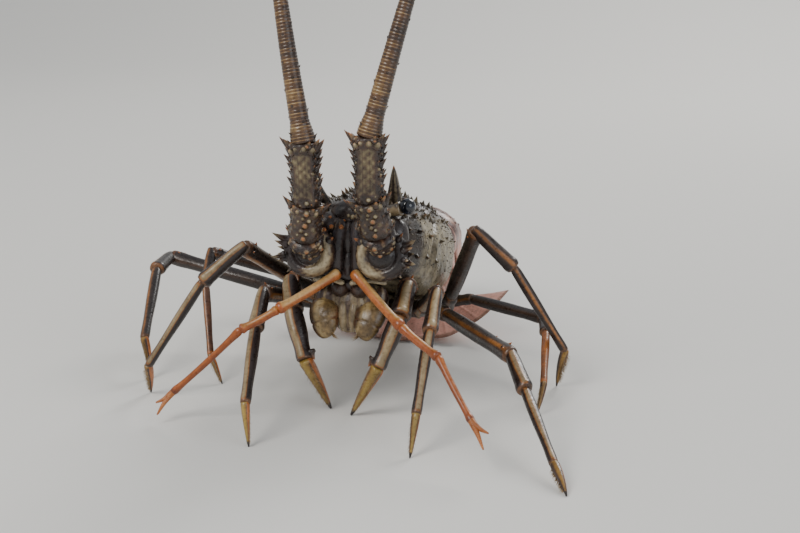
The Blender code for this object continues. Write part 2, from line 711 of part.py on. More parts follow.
def tail_section(centre, normal, half_width, above, below, sides=20):
    """A ring of the tail: a round back over a shallow belly."""
    up = np.cross((1, 0, 0), normal)
    turn = 2 * math.pi * (np.arange(sides) + 0.5) / sides
    x = half_width * power_wave(np.cos(turn), 2.2)
    high = np.where(np.sin(turn) >= 0, above * power_wave(np.sin(turn), 2.2),
                    below * power_wave(np.sin(turn), 3.2))
    return np.asarray(centre) + np.outer(x, (1, 0, 0)) + np.outer(high, up)


def build_tail(collection):
    hinges = tail_hinges()
    ways = [angle_way(-10)] + [angle_way(a) for a in TAIL_ANGLES] + [angle_way(FAN_ANGLE)]
    for index in range(6):
        start = hinges[index]
        end = hinges[index + 1]
        start_normal = unit(ways[index] + (ways[index + 1] if index else ways[0]))
        end_normal = unit(ways[index + 1] + ways[index + 2])
        rings = []
        for share, swell in ((0, 0.93), (0.35, 1.0), (0.7, 1.03), (1, 0.97)):
            wide = np.interp(share, (0, 1), TAIL_HALF_WIDTHS[index:index + 2]) * swell
            above = np.interp(share, (0, 1), TAIL_ABOVE[index:index + 2]) * swell
            below = np.interp(share, (0, 1), TAIL_BELOW[index:index + 2])
            normal = unit(start_normal * (1 - share) + end_normal * share)
            centre = start + (end - start) * share
            if share == 0:
                centre = centre + normal * HALF_GAP
            if share == 1:
                centre = centre - normal * HALF_GAP
            rings.append(tail_section(centre, normal, wide, above, below))
        item = add_object(f"tail_{index + 1}", loft_mesh("tail", rings), "tail_rose", collection)
        pieces = []
        middle = (start + end) / 2
        normal = unit(start_normal + end_normal)
        up = np.cross((1, 0, 0), normal)
        wide = (TAIL_HALF_WIDTHS[index] + TAIL_HALF_WIDTHS[index + 1]) / 2
        for side in (1, -1):
            if index < 5:
                root = middle + np.array([side * wide * 0.93, 0, 0]) - up * 3
                pieces.append(spine_mesh(root, -up + np.array([side * 0.18, 0, 0]) + normal * 0.25,
                                         TAIL_POINTS[index], TAIL_POINTS[index] * 0.3, sides=6,
                                         sunk=3.0))
            if index in SWIMMERETS:
                root = middle + np.array([side * wide * 0.42, 0, 0]) - up * (TAIL_BELOW[index] - 3.5)
                tip = root - up * (3.5 + SWIMMERETS[index]) + np.array([side * 2.0, 0, 0])
                sizes = ((0, 2.0, 0.9), (0.5, 3.8, 0.9), (1, 1.6, 0.6))
                pieces.append(loft_mesh("swimmeret", limb_rings(root, tip, sizes, 8, normal)))
        fuse(item, pieces)


def fan_frame():
    """Origin, forward and upward directions of the tail fan."""
    hinge = tail_hinges()[-1]
    along = angle_way(FAN_ANGLE)
    return hinge, along, np.cross((1, 0, 0), along)


def fan_plate(low_edge, high_edge, rows=7, columns=5):
    """A closed curved plate between two side lines of the fan; each line maps a share to x, run, rise."""
    hinge, along, up = fan_frame()
    front = np.zeros((rows, columns, 3))
    back = np.zeros((rows, columns, 3))
    for row in range(rows):
        share = row / (rows - 1)
        low = np.array(low_edge(share))
        high = np.array(high_edge(share))
        for column in range(columns):
            part = column / (columns - 1)
            x, run, rise = low + (high - low) * part
            run += 5.5 * (1 - (2 * part - 1) ** 2) * share ** 3
            ridge = 0.45 * (1 - share * 0.4) if column in (1, 3) else 0.0
            centre = hinge + np.array([x, 0, 0]) + along * run - up * rise
            front[row, column] = centre + up * (FAN_THICKNESS / 2 + ridge)
            back[row, column] = centre - up * (FAN_THICKNESS / 2 + ridge)
    vertices = np.concatenate([front.reshape(-1, 3), back.reshape(-1, 3)]) * METRES
    half = rows * columns
    faces = []

    def at(row, column, layer):
        return layer * half + row * columns + column
    for row in range(rows - 1):
        for column in range(columns - 1):
            a, b = at(row, column, 0), at(row, column + 1, 0)
            c, d = at(row + 1, column + 1, 0), at(row + 1, column, 0)
            faces += [(a, b, c), (a, c, d), (a + half, c + half, b + half), (a + half, d + half, c + half)]
    rim = ([at(0, c, 0) for c in range(columns)] + [at(r, columns - 1, 0) for r in range(1, rows)]
           + [at(rows - 1, c, 0) for c in range(columns - 2, -1, -1)]
           + [at(r, 0, 0) for r in range(rows - 2, 0, -1)])
    for index, vertex in enumerate(rim):
        after = rim[(index + 1) % len(rim)]
        faces += [(vertex, vertex + half, after + half), (vertex, after + half, after)]
    mesh = bpy.data.meshes.new("fan_plate")
    mesh.from_pydata(vertices.tolist(), [], faces)
    face_outward(mesh)
    return mesh


def fan_line(root_x, degrees, length, rise, gap):
    """A side line of the fan from the tail's end to its rim, moved sideways by half the gap."""
    def line(share):
        turn = math.radians(degrees)
        run = FAN_GAP + length * share * math.cos(turn)
        x = root_x + gap + length * share * math.sin(turn)
        return (x, run, rise * share ** 1.4)
    return line


def build_fan(collection):
    lines = ((0, 0, 0), (7.5, 13, 0.0), (12.5, 33, 5.0), (18.0, 58, 20.0))
    def line(index, side, inset):
        root_x, degrees, rise = lines[index]
        base = fan_line(root_x, degrees, FAN_LENGTH, rise, inset)
        return lambda share: (side * base(share)[0], base(share)[1], base(share)[2])
    telson = fan_plate(line(1, -1, -0.3), line(1, 1, -0.3))
    add_object("tail_fan_middle", telson, "tail_rose", collection)
    for side, word in ((1, "left"), (-1, "right")):
        add_object(f"tail_fan_{word}_inner", fan_plate(line(1, side, 0.3), line(2, side, -0.3)),
                   "tail_rose", collection)
        add_object(f"tail_fan_{word}_outer", fan_plate(line(2, side, 0.3), line(3, side, -0.3)),
                   "tail_rose", collection)


def centre_on_floor(collection):
    """Set the whole model so that the middle of its box stands over the origin."""
    corners = []
    for item in collection.objects:
        for vertex in item.data.vertices:
            corners.append(vertex.co)
    corners = np.array(corners)
    middle = (corners.min(0) + corners.max(0)) / 2
    origin = bpy.data.objects.new("lobster_place", None)
    bpy.context.scene.collection.objects.link(origin)
    for item in collection.objects:
        item.parent = origin
    origin.location = (-middle[0], -middle[1], 0)


def main():
    clear_scene()
    collection = bpy.data.collections.new("spiny_lobster")
    bpy.context.scene.collection.children.link(collection)
    build_carapace(collection)
    build_sternum(collection)
    build_face(collection)
    build_tail(collection)
    build_fan(collection)
    for side in (1, -1):
        build_eye(side, collection)
        build_antenna(side, collection)
        build_flagellum(side, collection)
        build_antennule(side, collection)
        build_maxilliped(side, collection)
        for leg in LEG_RADII:
            build_leg(leg, side, collection)
    centre_on_floor(collection)


main()
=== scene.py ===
import math
import random

import bpy
import numpy as np
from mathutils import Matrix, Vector


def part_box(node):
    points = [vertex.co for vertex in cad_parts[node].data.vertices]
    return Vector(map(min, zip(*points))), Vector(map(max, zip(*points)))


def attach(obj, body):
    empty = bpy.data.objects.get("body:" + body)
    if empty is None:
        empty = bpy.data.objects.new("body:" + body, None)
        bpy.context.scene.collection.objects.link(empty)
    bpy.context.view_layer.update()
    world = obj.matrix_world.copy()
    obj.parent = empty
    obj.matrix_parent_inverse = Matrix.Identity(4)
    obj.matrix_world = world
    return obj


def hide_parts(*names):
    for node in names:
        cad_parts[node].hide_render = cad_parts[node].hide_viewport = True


# Spiny lobster, dressed: every surface is worked out in millimetres in the solids' own frame
# (the lobster faces -Y, its left is +X, up is +Z) and moved by PLACE when its mesh is made.

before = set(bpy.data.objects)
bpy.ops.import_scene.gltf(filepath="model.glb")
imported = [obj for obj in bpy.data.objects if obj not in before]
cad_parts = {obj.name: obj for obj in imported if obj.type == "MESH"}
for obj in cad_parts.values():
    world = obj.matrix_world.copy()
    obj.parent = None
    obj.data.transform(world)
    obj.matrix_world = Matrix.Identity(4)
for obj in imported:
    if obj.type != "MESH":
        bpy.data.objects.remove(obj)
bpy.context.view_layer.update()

TAU = 2 * math.pi
MM = 0.001
SIDES = (1, -1)
WORDS = {1: "left", -1: "right"}

# Pose and sizes, the same values as the solids have
BODY_PITCH = math.radians(10.0)
FRONT_HEIGHT = 104.0
CARAPACE_STATIONS = np.array((
    (2, 25.0, -5.0, -21, -41), (8, 27.5, -4.0, -22, -42), (18, 30.0, -3.0, -24, -43.5),
    (30, 32.2, -2.5, -26, -47), (42, 33.2, -3.0, -28, -52), (50, 33.4, -3.5, -30, -54),
    (56, 32.6, -5.4, -31, -54.5), (62, 33.8, -4.4, -31, -55), (74, 34.2, -5.6, -32, -56),
    (88, 33.6, -8.0, -33, -57), (102, 31.6, -11.5, -34, -57.5), (112, 29.5, -15.5, -35, -56.5),
    (118, 28.0, -18.5, -35, -55),
))
UPPER_ROUNDNESS = 2.15
LOWER_ROUNDNESS = 2.5
LOWER_REACH = 6.0
SPINE_ROWS = (
    (0, 22, 108, 7, 5.0), (17, 16, 50, 4, 7.0), (17, 66, 110, 5, 5.0),
    (36, 26, 52, 3, 6.5), (36, 64, 108, 6, 5.0), (57, 10, 50, 5, 7.5),
    (57, 70, 108, 5, 4.6), (80, 6, 50, 5, 7.0), (80, 66, 104, 5, 4.4), (103, 12, 40, 3, 6.0),
)
HORN = ((17.5, 9.0, -9.0), (19.5, -2.0, 2.0), (21.0, -12.5, 13.0))
EYE = (25.5, -3.0, -7.0)
EYE_RADIUS = 3.8
BARREL = ((17.0, -6.0, -29.5), (17.6, -19.0, -28.5))
BARREL_RADIUS = 12.6
ANTENNA = {
    1: ((17.3, -10.0, -27.0), (17.0, -24.5, -18.0), (14.2, -31.0, -3.5), (14.0, -36.5, 26.0)),
    -1: ((17.3, -10.0, -30.0), (17.4, -24.5, -21.0), (15.2, -31.0, -6.5), (16.4, -35.8, 22.0)),
}
PEDUNCLE_RADII = (8.6, 7.8, 6.7, 6.2)
FLAGELLUM_LENGTH = 330.0
FLAGELLUM_LOWER = 118.0
FLAGELLUM_RADII = (4.7, 3.3, 0.9)
ANTENNULES = {
    1: ((3.6, -19.05, 68.7), (32.1, -44.6, 51.3), (51.9, -60.0, 43.5), (71.0, -82.0, 22.5)),
    -1: ((-3.6, -19.0, 68.4), (-28.0, -40.0, 54.8), (-44.0, -46.0, 46.0), (-77.8, -50.0, 13.4)),
}
ANTENNULE_TIPS = {
    1: ((79.5, -90.0, 21.0), (78.0, -94.0, 15.0)),
    -1: ((-85.0, -53.0, 9.0), (-83.0, -57.0, 4.5)),
}
LEG_RADII = {1: (5.0, 5.2, 4.8, 3.7), 2: (4.0, 3.9, 3.0, 2.2), 3: (3.9, 3.8, 2.5, 2.2),
             4: (3.9, 3.9, 2.7, 2.2), 5: (3.1, 3.0, 2.0, 1.7)}
LEG_LENGTHS = {1: (19, 26, 29), 2: (26, 44, 19.5), 3: (26, 52, 20), 4: (26, 50, 21),
               5: (20, 40, 16)}
COXAE = {1: (15, 43, -61), 2: (23, 57, -62), 3: (28, 70, -63), 4: (31, 85, -64), 5: (31, 101, -62)}
KNEES = {
    (1, 1): (26, -2, 58), (2, 1): (41.3, -8, 57.5), (3, 1): (79, -16, 31.5), (4, 1): (54.5, 27, 80.5),
    (5, 1): (85.5, 56, 29), (1, -1): (-33.5, 2, 56.5), (2, -1): (-44, -10, 53.5),
    (3, -1): (-53, -12, 76.5), (4, -1): (-124, 76, 45.5), (5, -1): (-90, 47, 57),
}
TOES = {
    (1, 1): (3.5, -27), (2, 1): (42, -74), (3, 1): (115, -103), (4, 1): (95.3, 34.9),
    (5, 1): (90.5, -9), (1, -1): (-8, -20), (2, -1): (-32, -76), (3, -1): (-102, -16),
    (4, -1): (-109, 3), (5, -1): (-71, 3),
}
# Way in which the lower leg bows, where it isn't straight away from the body
BOWS = {(1, 1): (0.4, -0.9, 0.25), (1, -1): (-0.1, -0.9, 0.35), (2, 1): (0.15, -0.6, 0.8),
        (2, -1): (-0.1, -0.6, 0.8), (3, 1): (-0.5, -0.3, 0.75), (4, 1): (0.84, -0.03, -0.54),
        (4, -1): (-0.15, -0.5, 0.8), (5, 1): (0.2, 0.2, 0.85)}
# Share of the lower leg's bend that lies at the wrist; the rest is at the claw
WRIST_SHARE = 0.4
WRIST_SHARES = {(1, 1): 0.55, (1, -1): 0.35, (2, 1): 0.4, (2, -1): 0.2, (3, 1): 0.3, (4, 1): 0.27,
                (5, 1): 0.3}
ISCHIUM = 15.0
ISCHIUM_ARCH = {1: 0.0, 2: 0.0, 3: 1.0, 4: -1.0, 5: 3.5}
TAIL_START = (110.4, 48.6)
TAIL_LENGTHS = (12, 14, 13, 13, 13, 15)
TAIL_ANGLES = (5, -2, -20, -52, -98, -155)
TAIL_HALF_WIDTHS = (27, 28.5, 28, 27, 25.5, 22.5, 18)
TAIL_ABOVE = (16, 17.5, 18, 18, 17.5, 15.5, 10)
TAIL_BELOW = (17, 13, 11, 10, 9, 8, 6.5)
TAIL_POINTS = (13, 13, 13, 10.5, 8.5)
SWIMMERETS = {1: 10.0, 2: 9.5, 3: 5.0, 4: 3.5}
FAN_ANGLE = -165.0
FAN_LENGTH = 50.0
FAN_THICKNESS = 1.3
FAN_LINES = ((0, 0, 0), (7.5, 13, 0.0), (12.5, 33, 5.0), (18.0, 58, 20.0))
LEFTWARD = np.array((1, 0, 0))

# Small forms of the head, in the body frame: centre, radii, paleness
CROWN_LOBES = (
    ((0, -9.4, -21.5), (3.3, 4.0, 8.5), 0.38), ((0, -8.8, -34.0), (3.0, 3.4, 7.0), 0.30),
    ((5.6, -9.4, -15.2), (3.4, 3.4, 3.0), 0.43), ((-5.6, -9.4, -15.2), (3.4, 3.4, 3.0), 0.43),
)
# Blades of the mouth's left half: x, y, z, half width, half height, paleness
MOUTH_BLADES = (
    (4.0, -2.6, -56.5, 4.4, 9.5, 0.62), (10.0, -1.5, -53.0, 5.2, 7.5, 0.54),
    (2.6, -4.8, -59.5, 2.7, 8.0, 0.70), (14.5, -1.0, -52.0, 3.8, 7.0, 0.46),
)
# Half outline of an antenna's drum: distance along its axis, radius
DRUM_OUTLINE = (
    (-5, 6.5), (-2.5, 9.5), (2, 11.6), (6, 12.5), (10, 12.5), (12.0, 11.7), (13.2, 10.2), (13.4, 8.6),
    (12.7, 7.3), (12.2, 6.6), (12.7, 5.9), (13.6, 4.6), (14.0, 2.6), (14.1, 0.4),
)
# Spines round a drum: degrees from its outer side, share of its length, length, radius, orange
DRUM_SPINES = (
    (24, 0.60, 8.6, 2.3, 0.3), (-12, 0.62, 7.4, 2.1, 0.2), (15, 0.78, 5.4, 1.6, 0.5),
    (-20, 0.72, 4.6, 1.4, 0.1), (150, 0.8, 3.2, 1.5, 0.9), (45, 0.8, 4.2, 1.4, 0.8),
    (75, 0.85, 2.6, 1.4, 0.7), (100, 0.9, 2.2, 1.5, 1.0), (-45, 0.6, 3.4, 1.2, 0.1),
    (5, 0.4, 5.0, 1.6, 0.1), (-8, 0.95, 2.4, 1.0, 0.4), (30, 0.5, 3.2, 1.2, 0.3),
    (125, 0.7, 2.4, 1.4, 0.8),
)
# Large knobs between and beside the antennae: x, y, z, orange
FACE_KNOBS = (
    (3.5, -12.6, -21.5, 0.1), (-3.0, -12.8, -17.0, 0.9), (8.5, -12.0, -18.5, 0.5),
    (-8.0, -12.0, -17.0, 0.8), (12.5, -10.0, -14.0, 0.3), (-12.5, -10.0, -14.0, 0.3),
    (2.0, -11.0, -12.0, 0.1), (-16.5, -8.5, -14.8, 0.6), (16.5, -8.5, -14.8, 0.9),
    (20.5, -7.5, -13.5, 0.4), (-20.5, -7.5, -13.5, 0.4), (23.5, -6.5, -17.0, 0.7),
    (-23.5, -6.5, -17.0, 0.2), (9.0, -10.8, -13.0, 0.3), (-9.0, -10.8, -13.0, 0.8),
)
EYE_SHIFT = (1.0, -0.4, 0.9)
EYE_STALK_ROOT = (14.0, -1.0, -10.0)
GRANULES = 1850

# Knobs on the antenna joints: seed, number, shares of the length, degrees round the joint
MIDDLE_JOINT_KNOBS = ((47, 50, (0.10, 0.95), (-50, 230)),)
LAST_JOINT_KNOBS = (
    (43, 14, (0.84, 0.96), (0, 360)), (53, 9, (0.05, 0.16), (10, 170)),
    (61, 16, (0.2, 0.8), (142, 215)), (67, 16, (0.2, 0.8), (-35, 38)),
)
WHIP_RING = 1.55

# Paint marks: paleness, orange, dark, and last a painted blue-grey sheen that stands in for light glancing
# off the shell
MARKS = ("pale", "warm", "dark", "cool")


# Arithmetic on whole arrays

def unit(vectors):
    """Each vector divided by its own length."""
    vectors = np.asarray(vectors, float)
    return vectors / np.linalg.norm(vectors, axis=-1, keepdims=True)


def ease(value):
    """3v^2 - 2v^3, held between 0 and 1."""
    value = np.clip(value, 0, 1)
    return value * value * (3 - 2 * value)


def hump(value, middle, width):
    """A bell: e to the minus ((value - middle) / width) squared."""
    return np.exp(-((value - middle) / width) ** 2)


def wave_power(value, power):
    """The sign of a wave times its size raised to 2 / power, which squares a circle's corners."""
    return np.sign(value) * np.abs(value) ** (2 / power)


def domed(share, first, last):
    """A closing profile: 1 along the middle, a quarter circle down to 0 within each end's share."""
    start = np.clip(1 - share / first, 0, 1)
    end = np.clip(1 - (1 - share) / last, 0, 1)
    return np.sqrt(np.clip(1 - start ** 2, 0, 1)) * np.sqrt(np.clip(1 - end ** 2, 0, 1))


def curve_through(knots, values, at):
    """A smooth curve through values at knots: cubic pieces whose end slopes are the mean chord slopes."""
    knots = np.asarray(knots, float)
    values = np.asarray(values, float)
    at = np.asarray(at, float)
    slopes = np.gradient(values, knots, axis=0)
    piece = np.clip(np.searchsorted(knots, at) - 1, 0, len(knots) - 2)
    span = knots[piece + 1] - knots[piece]
    t = (at - knots[piece]) / span
    if values.ndim > 1:
        t = t[..., None]
        span = span[..., None]
    return (values[piece] * (1 + 2 * t) * (1 - t) ** 2 + values[piece + 1] * t * t * (3 - 2 * t)
            + span * (slopes[piece] * t * (1 - t) ** 2 - slopes[piece + 1] * t * t * (1 - t)))


def path_through(points, count):
    """A smooth path through points, spaced evenly by the length of their chords."""
    points = np.asarray(points, float)
    chords = np.concatenate([[0], np.cumsum(np.linalg.norm(np.diff(points, axis=0), axis=1))])
    return curve_through(chords, points, np.linspace(0, chords[-1], count))


def crowded(count):
    """Shares from 0 to 1, closer together near both ends: half of 1 - cos(pi t)."""
    return (1 - np.cos(np.linspace(0, math.pi, count))) / 2


def angles(sides):
    """The angles of a ring's points: a full turn in equal steps, from half a step on."""
    return TAU * (np.arange(sides) + 0.5) / sides


def around(across, top, turn):
    """Directions at angles from across toward top."""
    return across * np.cos(turn)[:, None] + top * np.sin(turn)[:, None]


def stacked(*parts):
    """Arrays spread over each other and put side by side along a new last axis."""
    return np.stack(np.broadcast_arrays(*parts), -1)


def in_world(points):
    """Points of the body frame turned by the body's pitch about X and raised to its height."""
    points = np.asarray(points, float)
    x, y, z = points[..., 0], points[..., 1], points[..., 2]
    cosine = math.cos(BODY_PITCH)
    sine = math.sin(BODY_PITCH)
    return np.stack([x, y * cosine + z * sine, FRONT_HEIGHT - y * sine + z * cosine], -1)


def way_in_world(vectors):
    """Directions of the body frame turned by the body's pitch."""
    return in_world(vectors) - in_world((0, 0, 0))


def mirrored(points, side):
    """Body-frame points of the left side taken to the side asked for, in the world."""
    return in_world(np.array(points) * (side, 1, 1))


EYE_LOW, EYE_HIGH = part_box("eye_left")
EYE_CENTRE = in_world(EYE)
PLACE = np.array([EYE_HIGH[0] / MM - EYE_RADIUS - EYE_CENTRE[0],
                  EYE_LOW[1] / MM + EYE_RADIUS - EYE_CENTRE[1], 0])


# Pieces and their surfaces

def new_item(name, data):
    """An object made from a mesh, a light or a camera, in the scene."""
    item = bpy.data.objects.new(name, data)
    bpy.context.scene.collection.objects.link(item)
    return item


def tube_faces(rows, sides):
    """Quads between the rows of a closed tube, and the two fans that close it on the points that follow
    its last row: first the one at its start, then the one at its end."""
    row = np.arange(rows - 1)[:, None] * sides
    column = np.arange(sides)[None]
    after = (column + 1) % sides
    quads = stacked(row + column, row + after, row + sides + after, row + sides + column).reshape(-1, 4)
    ring = np.arange(sides)
    following = (ring + 1) % sides
    last = (rows - 1) * sides
    first_fan = np.stack([np.full(sides, rows * sides), following, ring], 1)
    last_fan = np.stack([np.full(sides, rows * sides + 1), last + ring, last + following], 1)
    return quads, np.concatenate([first_fan, last_fan])


class Piece:
    """Gathers the closed surfaces of one piece, with paint marks from 0 to 1 at every point."""

    def __init__(self):
        self.points = []
        self.quads = []
        self.tris = []
        self.marks = {mark: [] for mark in MARKS}
        self.count = 0

    def add(self, points, quads, tris, **marks):
        """Takes in one closed surface, turned over first where the volume that its faces enclose, the sum of
        their triple products, is negative."""
        volume = 0.0
        for faces in (tris, quads[:, (0, 1, 2)], quads[:, (0, 2, 3)]):
            a, b, c = (points[faces[:, corner]] for corner in range(3))
            volume += np.einsum("ij,ij->i", a, np.cross(b, c)).sum()
        if volume < 0:
            quads = quads[:, ::-1]
            tris = tris[:, ::-1]
        self.points.append(points)
        self.quads.append(quads + self.count)
        self.tris.append(tris + self.count)
        for mark in MARKS:
            self.marks[mark].append(np.broadcast_to(np.asarray(marks.get(mark, 0.0), float), len(points)))
        self.count += len(points)

    def rings(self, rings, **marks):
        """Closed rings joined row by row, each end closed by a fan on the middle of its ring."""
        rows, sides = rings.shape[:2]
        quads, tris = tube_faces(rows, sides)
        points = np.concatenate([rings.reshape(-1, 3), rings[:1].mean(1), rings[-1:].mean(1)])
        spread = {}
        for mark, value in marks.items():
            value = np.broadcast_to(np.asarray(value, float), (rows, sides))
            spread[mark] = np.concatenate([value.reshape(-1), [value[0].mean(), value[-1].mean()]])
        self.add(points, quads, tris, **spread)

    def spikes(self, roots, aims, lengths, radii, lean=None, sides=8, blunt=0.0, sunk=0.3,
               pale=0.0, warm=0.0, dark=0.0, cool=0.0, shares=(0, 0.12, 0.3, 0.52, 0.74, 0.9)):
        """Cones on points: at share s the centre is root + aim * length * s + lean * length * s^2, and the
        radius falls from the root's as (1 - s), or as a dome's where blunt is 1, over a flared foot."""
        roots = np.atleast_2d(roots)
        count = len(roots)
        aims = unit(np.broadcast_to(aims, (count, 3)))
        lengths = np.broadcast_to(lengths, count)[:, None, None]
        radii = np.broadcast_to(radii, count)[:, None]
        lean = np.broadcast_to(np.zeros(3) if lean is None else lean, (count, 3))
        share = np.array((-sunk, *shares))
        rise = np.maximum(share, 0)
        profile = ((1 - blunt) * (1 - rise) ** 0.9 + blunt * np.sqrt(1 - rise ** 2)
                   + 0.35 * np.exp(-(rise / 0.09) ** 2))
        helper = np.where(np.abs(aims[:, 2:3]) < 0.9, (0, 0, 1), (1, 0, 0))
        across = unit(np.cross(aims, helper))
        beyond = np.cross(aims, across)
        turn = TAU * np.arange(sides) / sides
        wheel = around(across[:, None], beyond[:, None], turn)
        middles = (roots[:, None] + aims[:, None] * share[None, :, None] * lengths
                   + lean[:, None] * (rise ** 2)[None, :, None] * lengths)
        rings = middles[:, :, None] + wheel[:, None] * (radii * profile[None])[..., None, None]
        tips = roots + aims * lengths[:, 0] + lean * lengths[:, 0]
        levels = len(share)
        each = levels * sides + 2
        points = np.concatenate([rings.reshape(count, -1, 3), middles[:, :1], tips[:, None]], 1)
        quads, tris = tube_faces(levels, sides)
        start = (np.arange(count) * each)[:, None, None]
        climb = np.concatenate([np.repeat(rise, sides), [0, 1]])
        spread = {}
        for mark, value in (("pale", pale), ("warm", warm), ("dark", dark), ("cool", cool)):
            value = value if isinstance(value, tuple) else (value, value)
            spread[mark] = np.tile(value[0] + (value[1] - value[0]) * climb, count)
        self.add(points.reshape(-1, 3), (quads[None] + start).reshape(-1, 4),
                 (tris[None] + start).reshape(-1, 3), **spread)
        return each

    def make(self, name, finish, nodes=(), uv=None):
        """Puts the gathered surfaces into one mesh at its place, on the root body, and hides its solids."""
        points = (np.concatenate(self.points) + PLACE) * MM
        quads = np.concatenate(self.quads)
        tris = np.concatenate(self.tris)
        corners = np.concatenate([quads.reshape(-1), tris.reshape(-1)]).astype(np.int32)
        starts = np.concatenate([np.arange(len(quads)) * 4, len(quads) * 4 + np.arange(len(tris)) * 3])
        mesh = bpy.data.meshes.new(name)
        mesh.vertices.add(len(points))
        mesh.vertices.foreach_set("co", points.astype(np.float32).reshape(-1))
        mesh.loops.add(len(corners))
        mesh.loops.foreach_set("vertex_index", corners)
        mesh.polygons.add(len(starts))
        mesh.polygons.foreach_set("loop_start", starts.astype(np.int32))
        mesh.update(calc_edges=True)
        for mark in MARKS:
            values = np.clip(np.concatenate(self.marks[mark]), 0, 1).astype(np.float32)
            mesh.attributes.new(mark, 'FLOAT', 'POINT').data.foreach_set("value", values)
        if uv is not None:
            layer = mesh.uv_layers.new(name="OFBake")
            layer.data.foreach_set("uv", uv[corners].astype(np.float32).reshape(-1))
        mesh.shade_smooth()
        mesh.validate()
        mesh.materials.append(finish)
        item = new_item(name, mesh)
        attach(item, "root")
        if nodes:
            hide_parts(*nodes)


def sweep(path, wide, high, sides, up, power=2.0, swell=1.0):
    """Superellipses across a path: at each point (wide cos t, high sin t), squared by power and scaled by
    swell, on the sideways and upward directions of the path. Returns the rings and the two directions."""
    path = np.asarray(path, float)
    along = unit(np.gradient(path, axis=0))
    side = unit(np.cross(along, up))
    top = np.cross(side, along)
    turn = angles(sides)
    wide = np.broadcast_to(wide, len(path))[:, None] * wave_power(np.cos(turn), power)
    high = np.broadcast_to(high, len(path))[:, None] * wave_power(np.sin(turn), power)
    rings = (path[:, None] + (wide * swell)[..., None] * side[:, None]
             + (high * swell)[..., None] * top[:, None])
    return rings, side, top


# Finishes

def feed(tree, socket, value):
    """Links a socket to another one, or sets it to a plain value."""
    if isinstance(value, bpy.types.NodeSocket):
        tree.links.new(value, socket)
    else:
        socket.default_value = value


def add_node(tree, kind, settings=(), **inputs):
    """A shader node with its settings, each named input linked where it is a socket and set where not."""
    node = tree.nodes.new(kind)
    for key, value in settings:
        setattr(node, key, value)
    for key, value in inputs.items():
        feed(tree, node.inputs[key.replace("_", " ")], value)
    return node


def mix_colour(tree, share, low, high, blend='MIX'):
    """The colour low blended with high by share."""
    node = tree.nodes.new('ShaderNodeMix')
    node.data_type = 'RGBA'
    node.blend_type = blend
    for index, value in ((0, share), (6, low), (7, high)):
        feed(tree, node.inputs[index], value)
    return node.outputs[2]


def arithmetic(tree, operation, first, second=0.0, third=0.0):
    """A sum, product or other operation on up to three values or sockets."""
    node = tree.nodes.new('ShaderNodeMath')
    node.operation = operation
    for index, value in enumerate((first, second, third)):
        feed(tree, node.inputs[index], value)
    return node.outputs[0]


def fitted(tree, value, low, high, start=0.0, end=1.0):
    """The value's range from low to high, mapped smoothly to start and end."""
    return add_node(tree, 'ShaderNodeMapRange', (("interpolation_type", 'SMOOTHSTEP'),), Value=value,
                    From_Min=low, From_Max=high, To_Min=start, To_Max=end).outputs[0]


def colour(red, green, blue):
    """An opaque colour."""
    return (red, green, blue, 1.0)


def new_finish(name):
    """A finish with nodes, its node tree and its shader."""
    finish = bpy.data.materials.new(name)
    finish.use_nodes = True
    return finish, finish.node_tree, finish.node_tree.nodes["Principled BSDF"]


DARK_SHELL = colour(0.020, 0.011, 0.010)
BROWN_SHELL = colour(0.085, 0.043, 0.024)
ORANGE = colour(0.50, 0.15, 0.028)
TAN = colour(0.31, 0.225, 0.125)
CREAM = colour(0.52, 0.43, 0.27)
# Blue-grey of the painted sheen, laid on as colour where light glances off the shell
PAINTED_SHEEN_SLATE = colour(0.155, 0.145, 0.165)


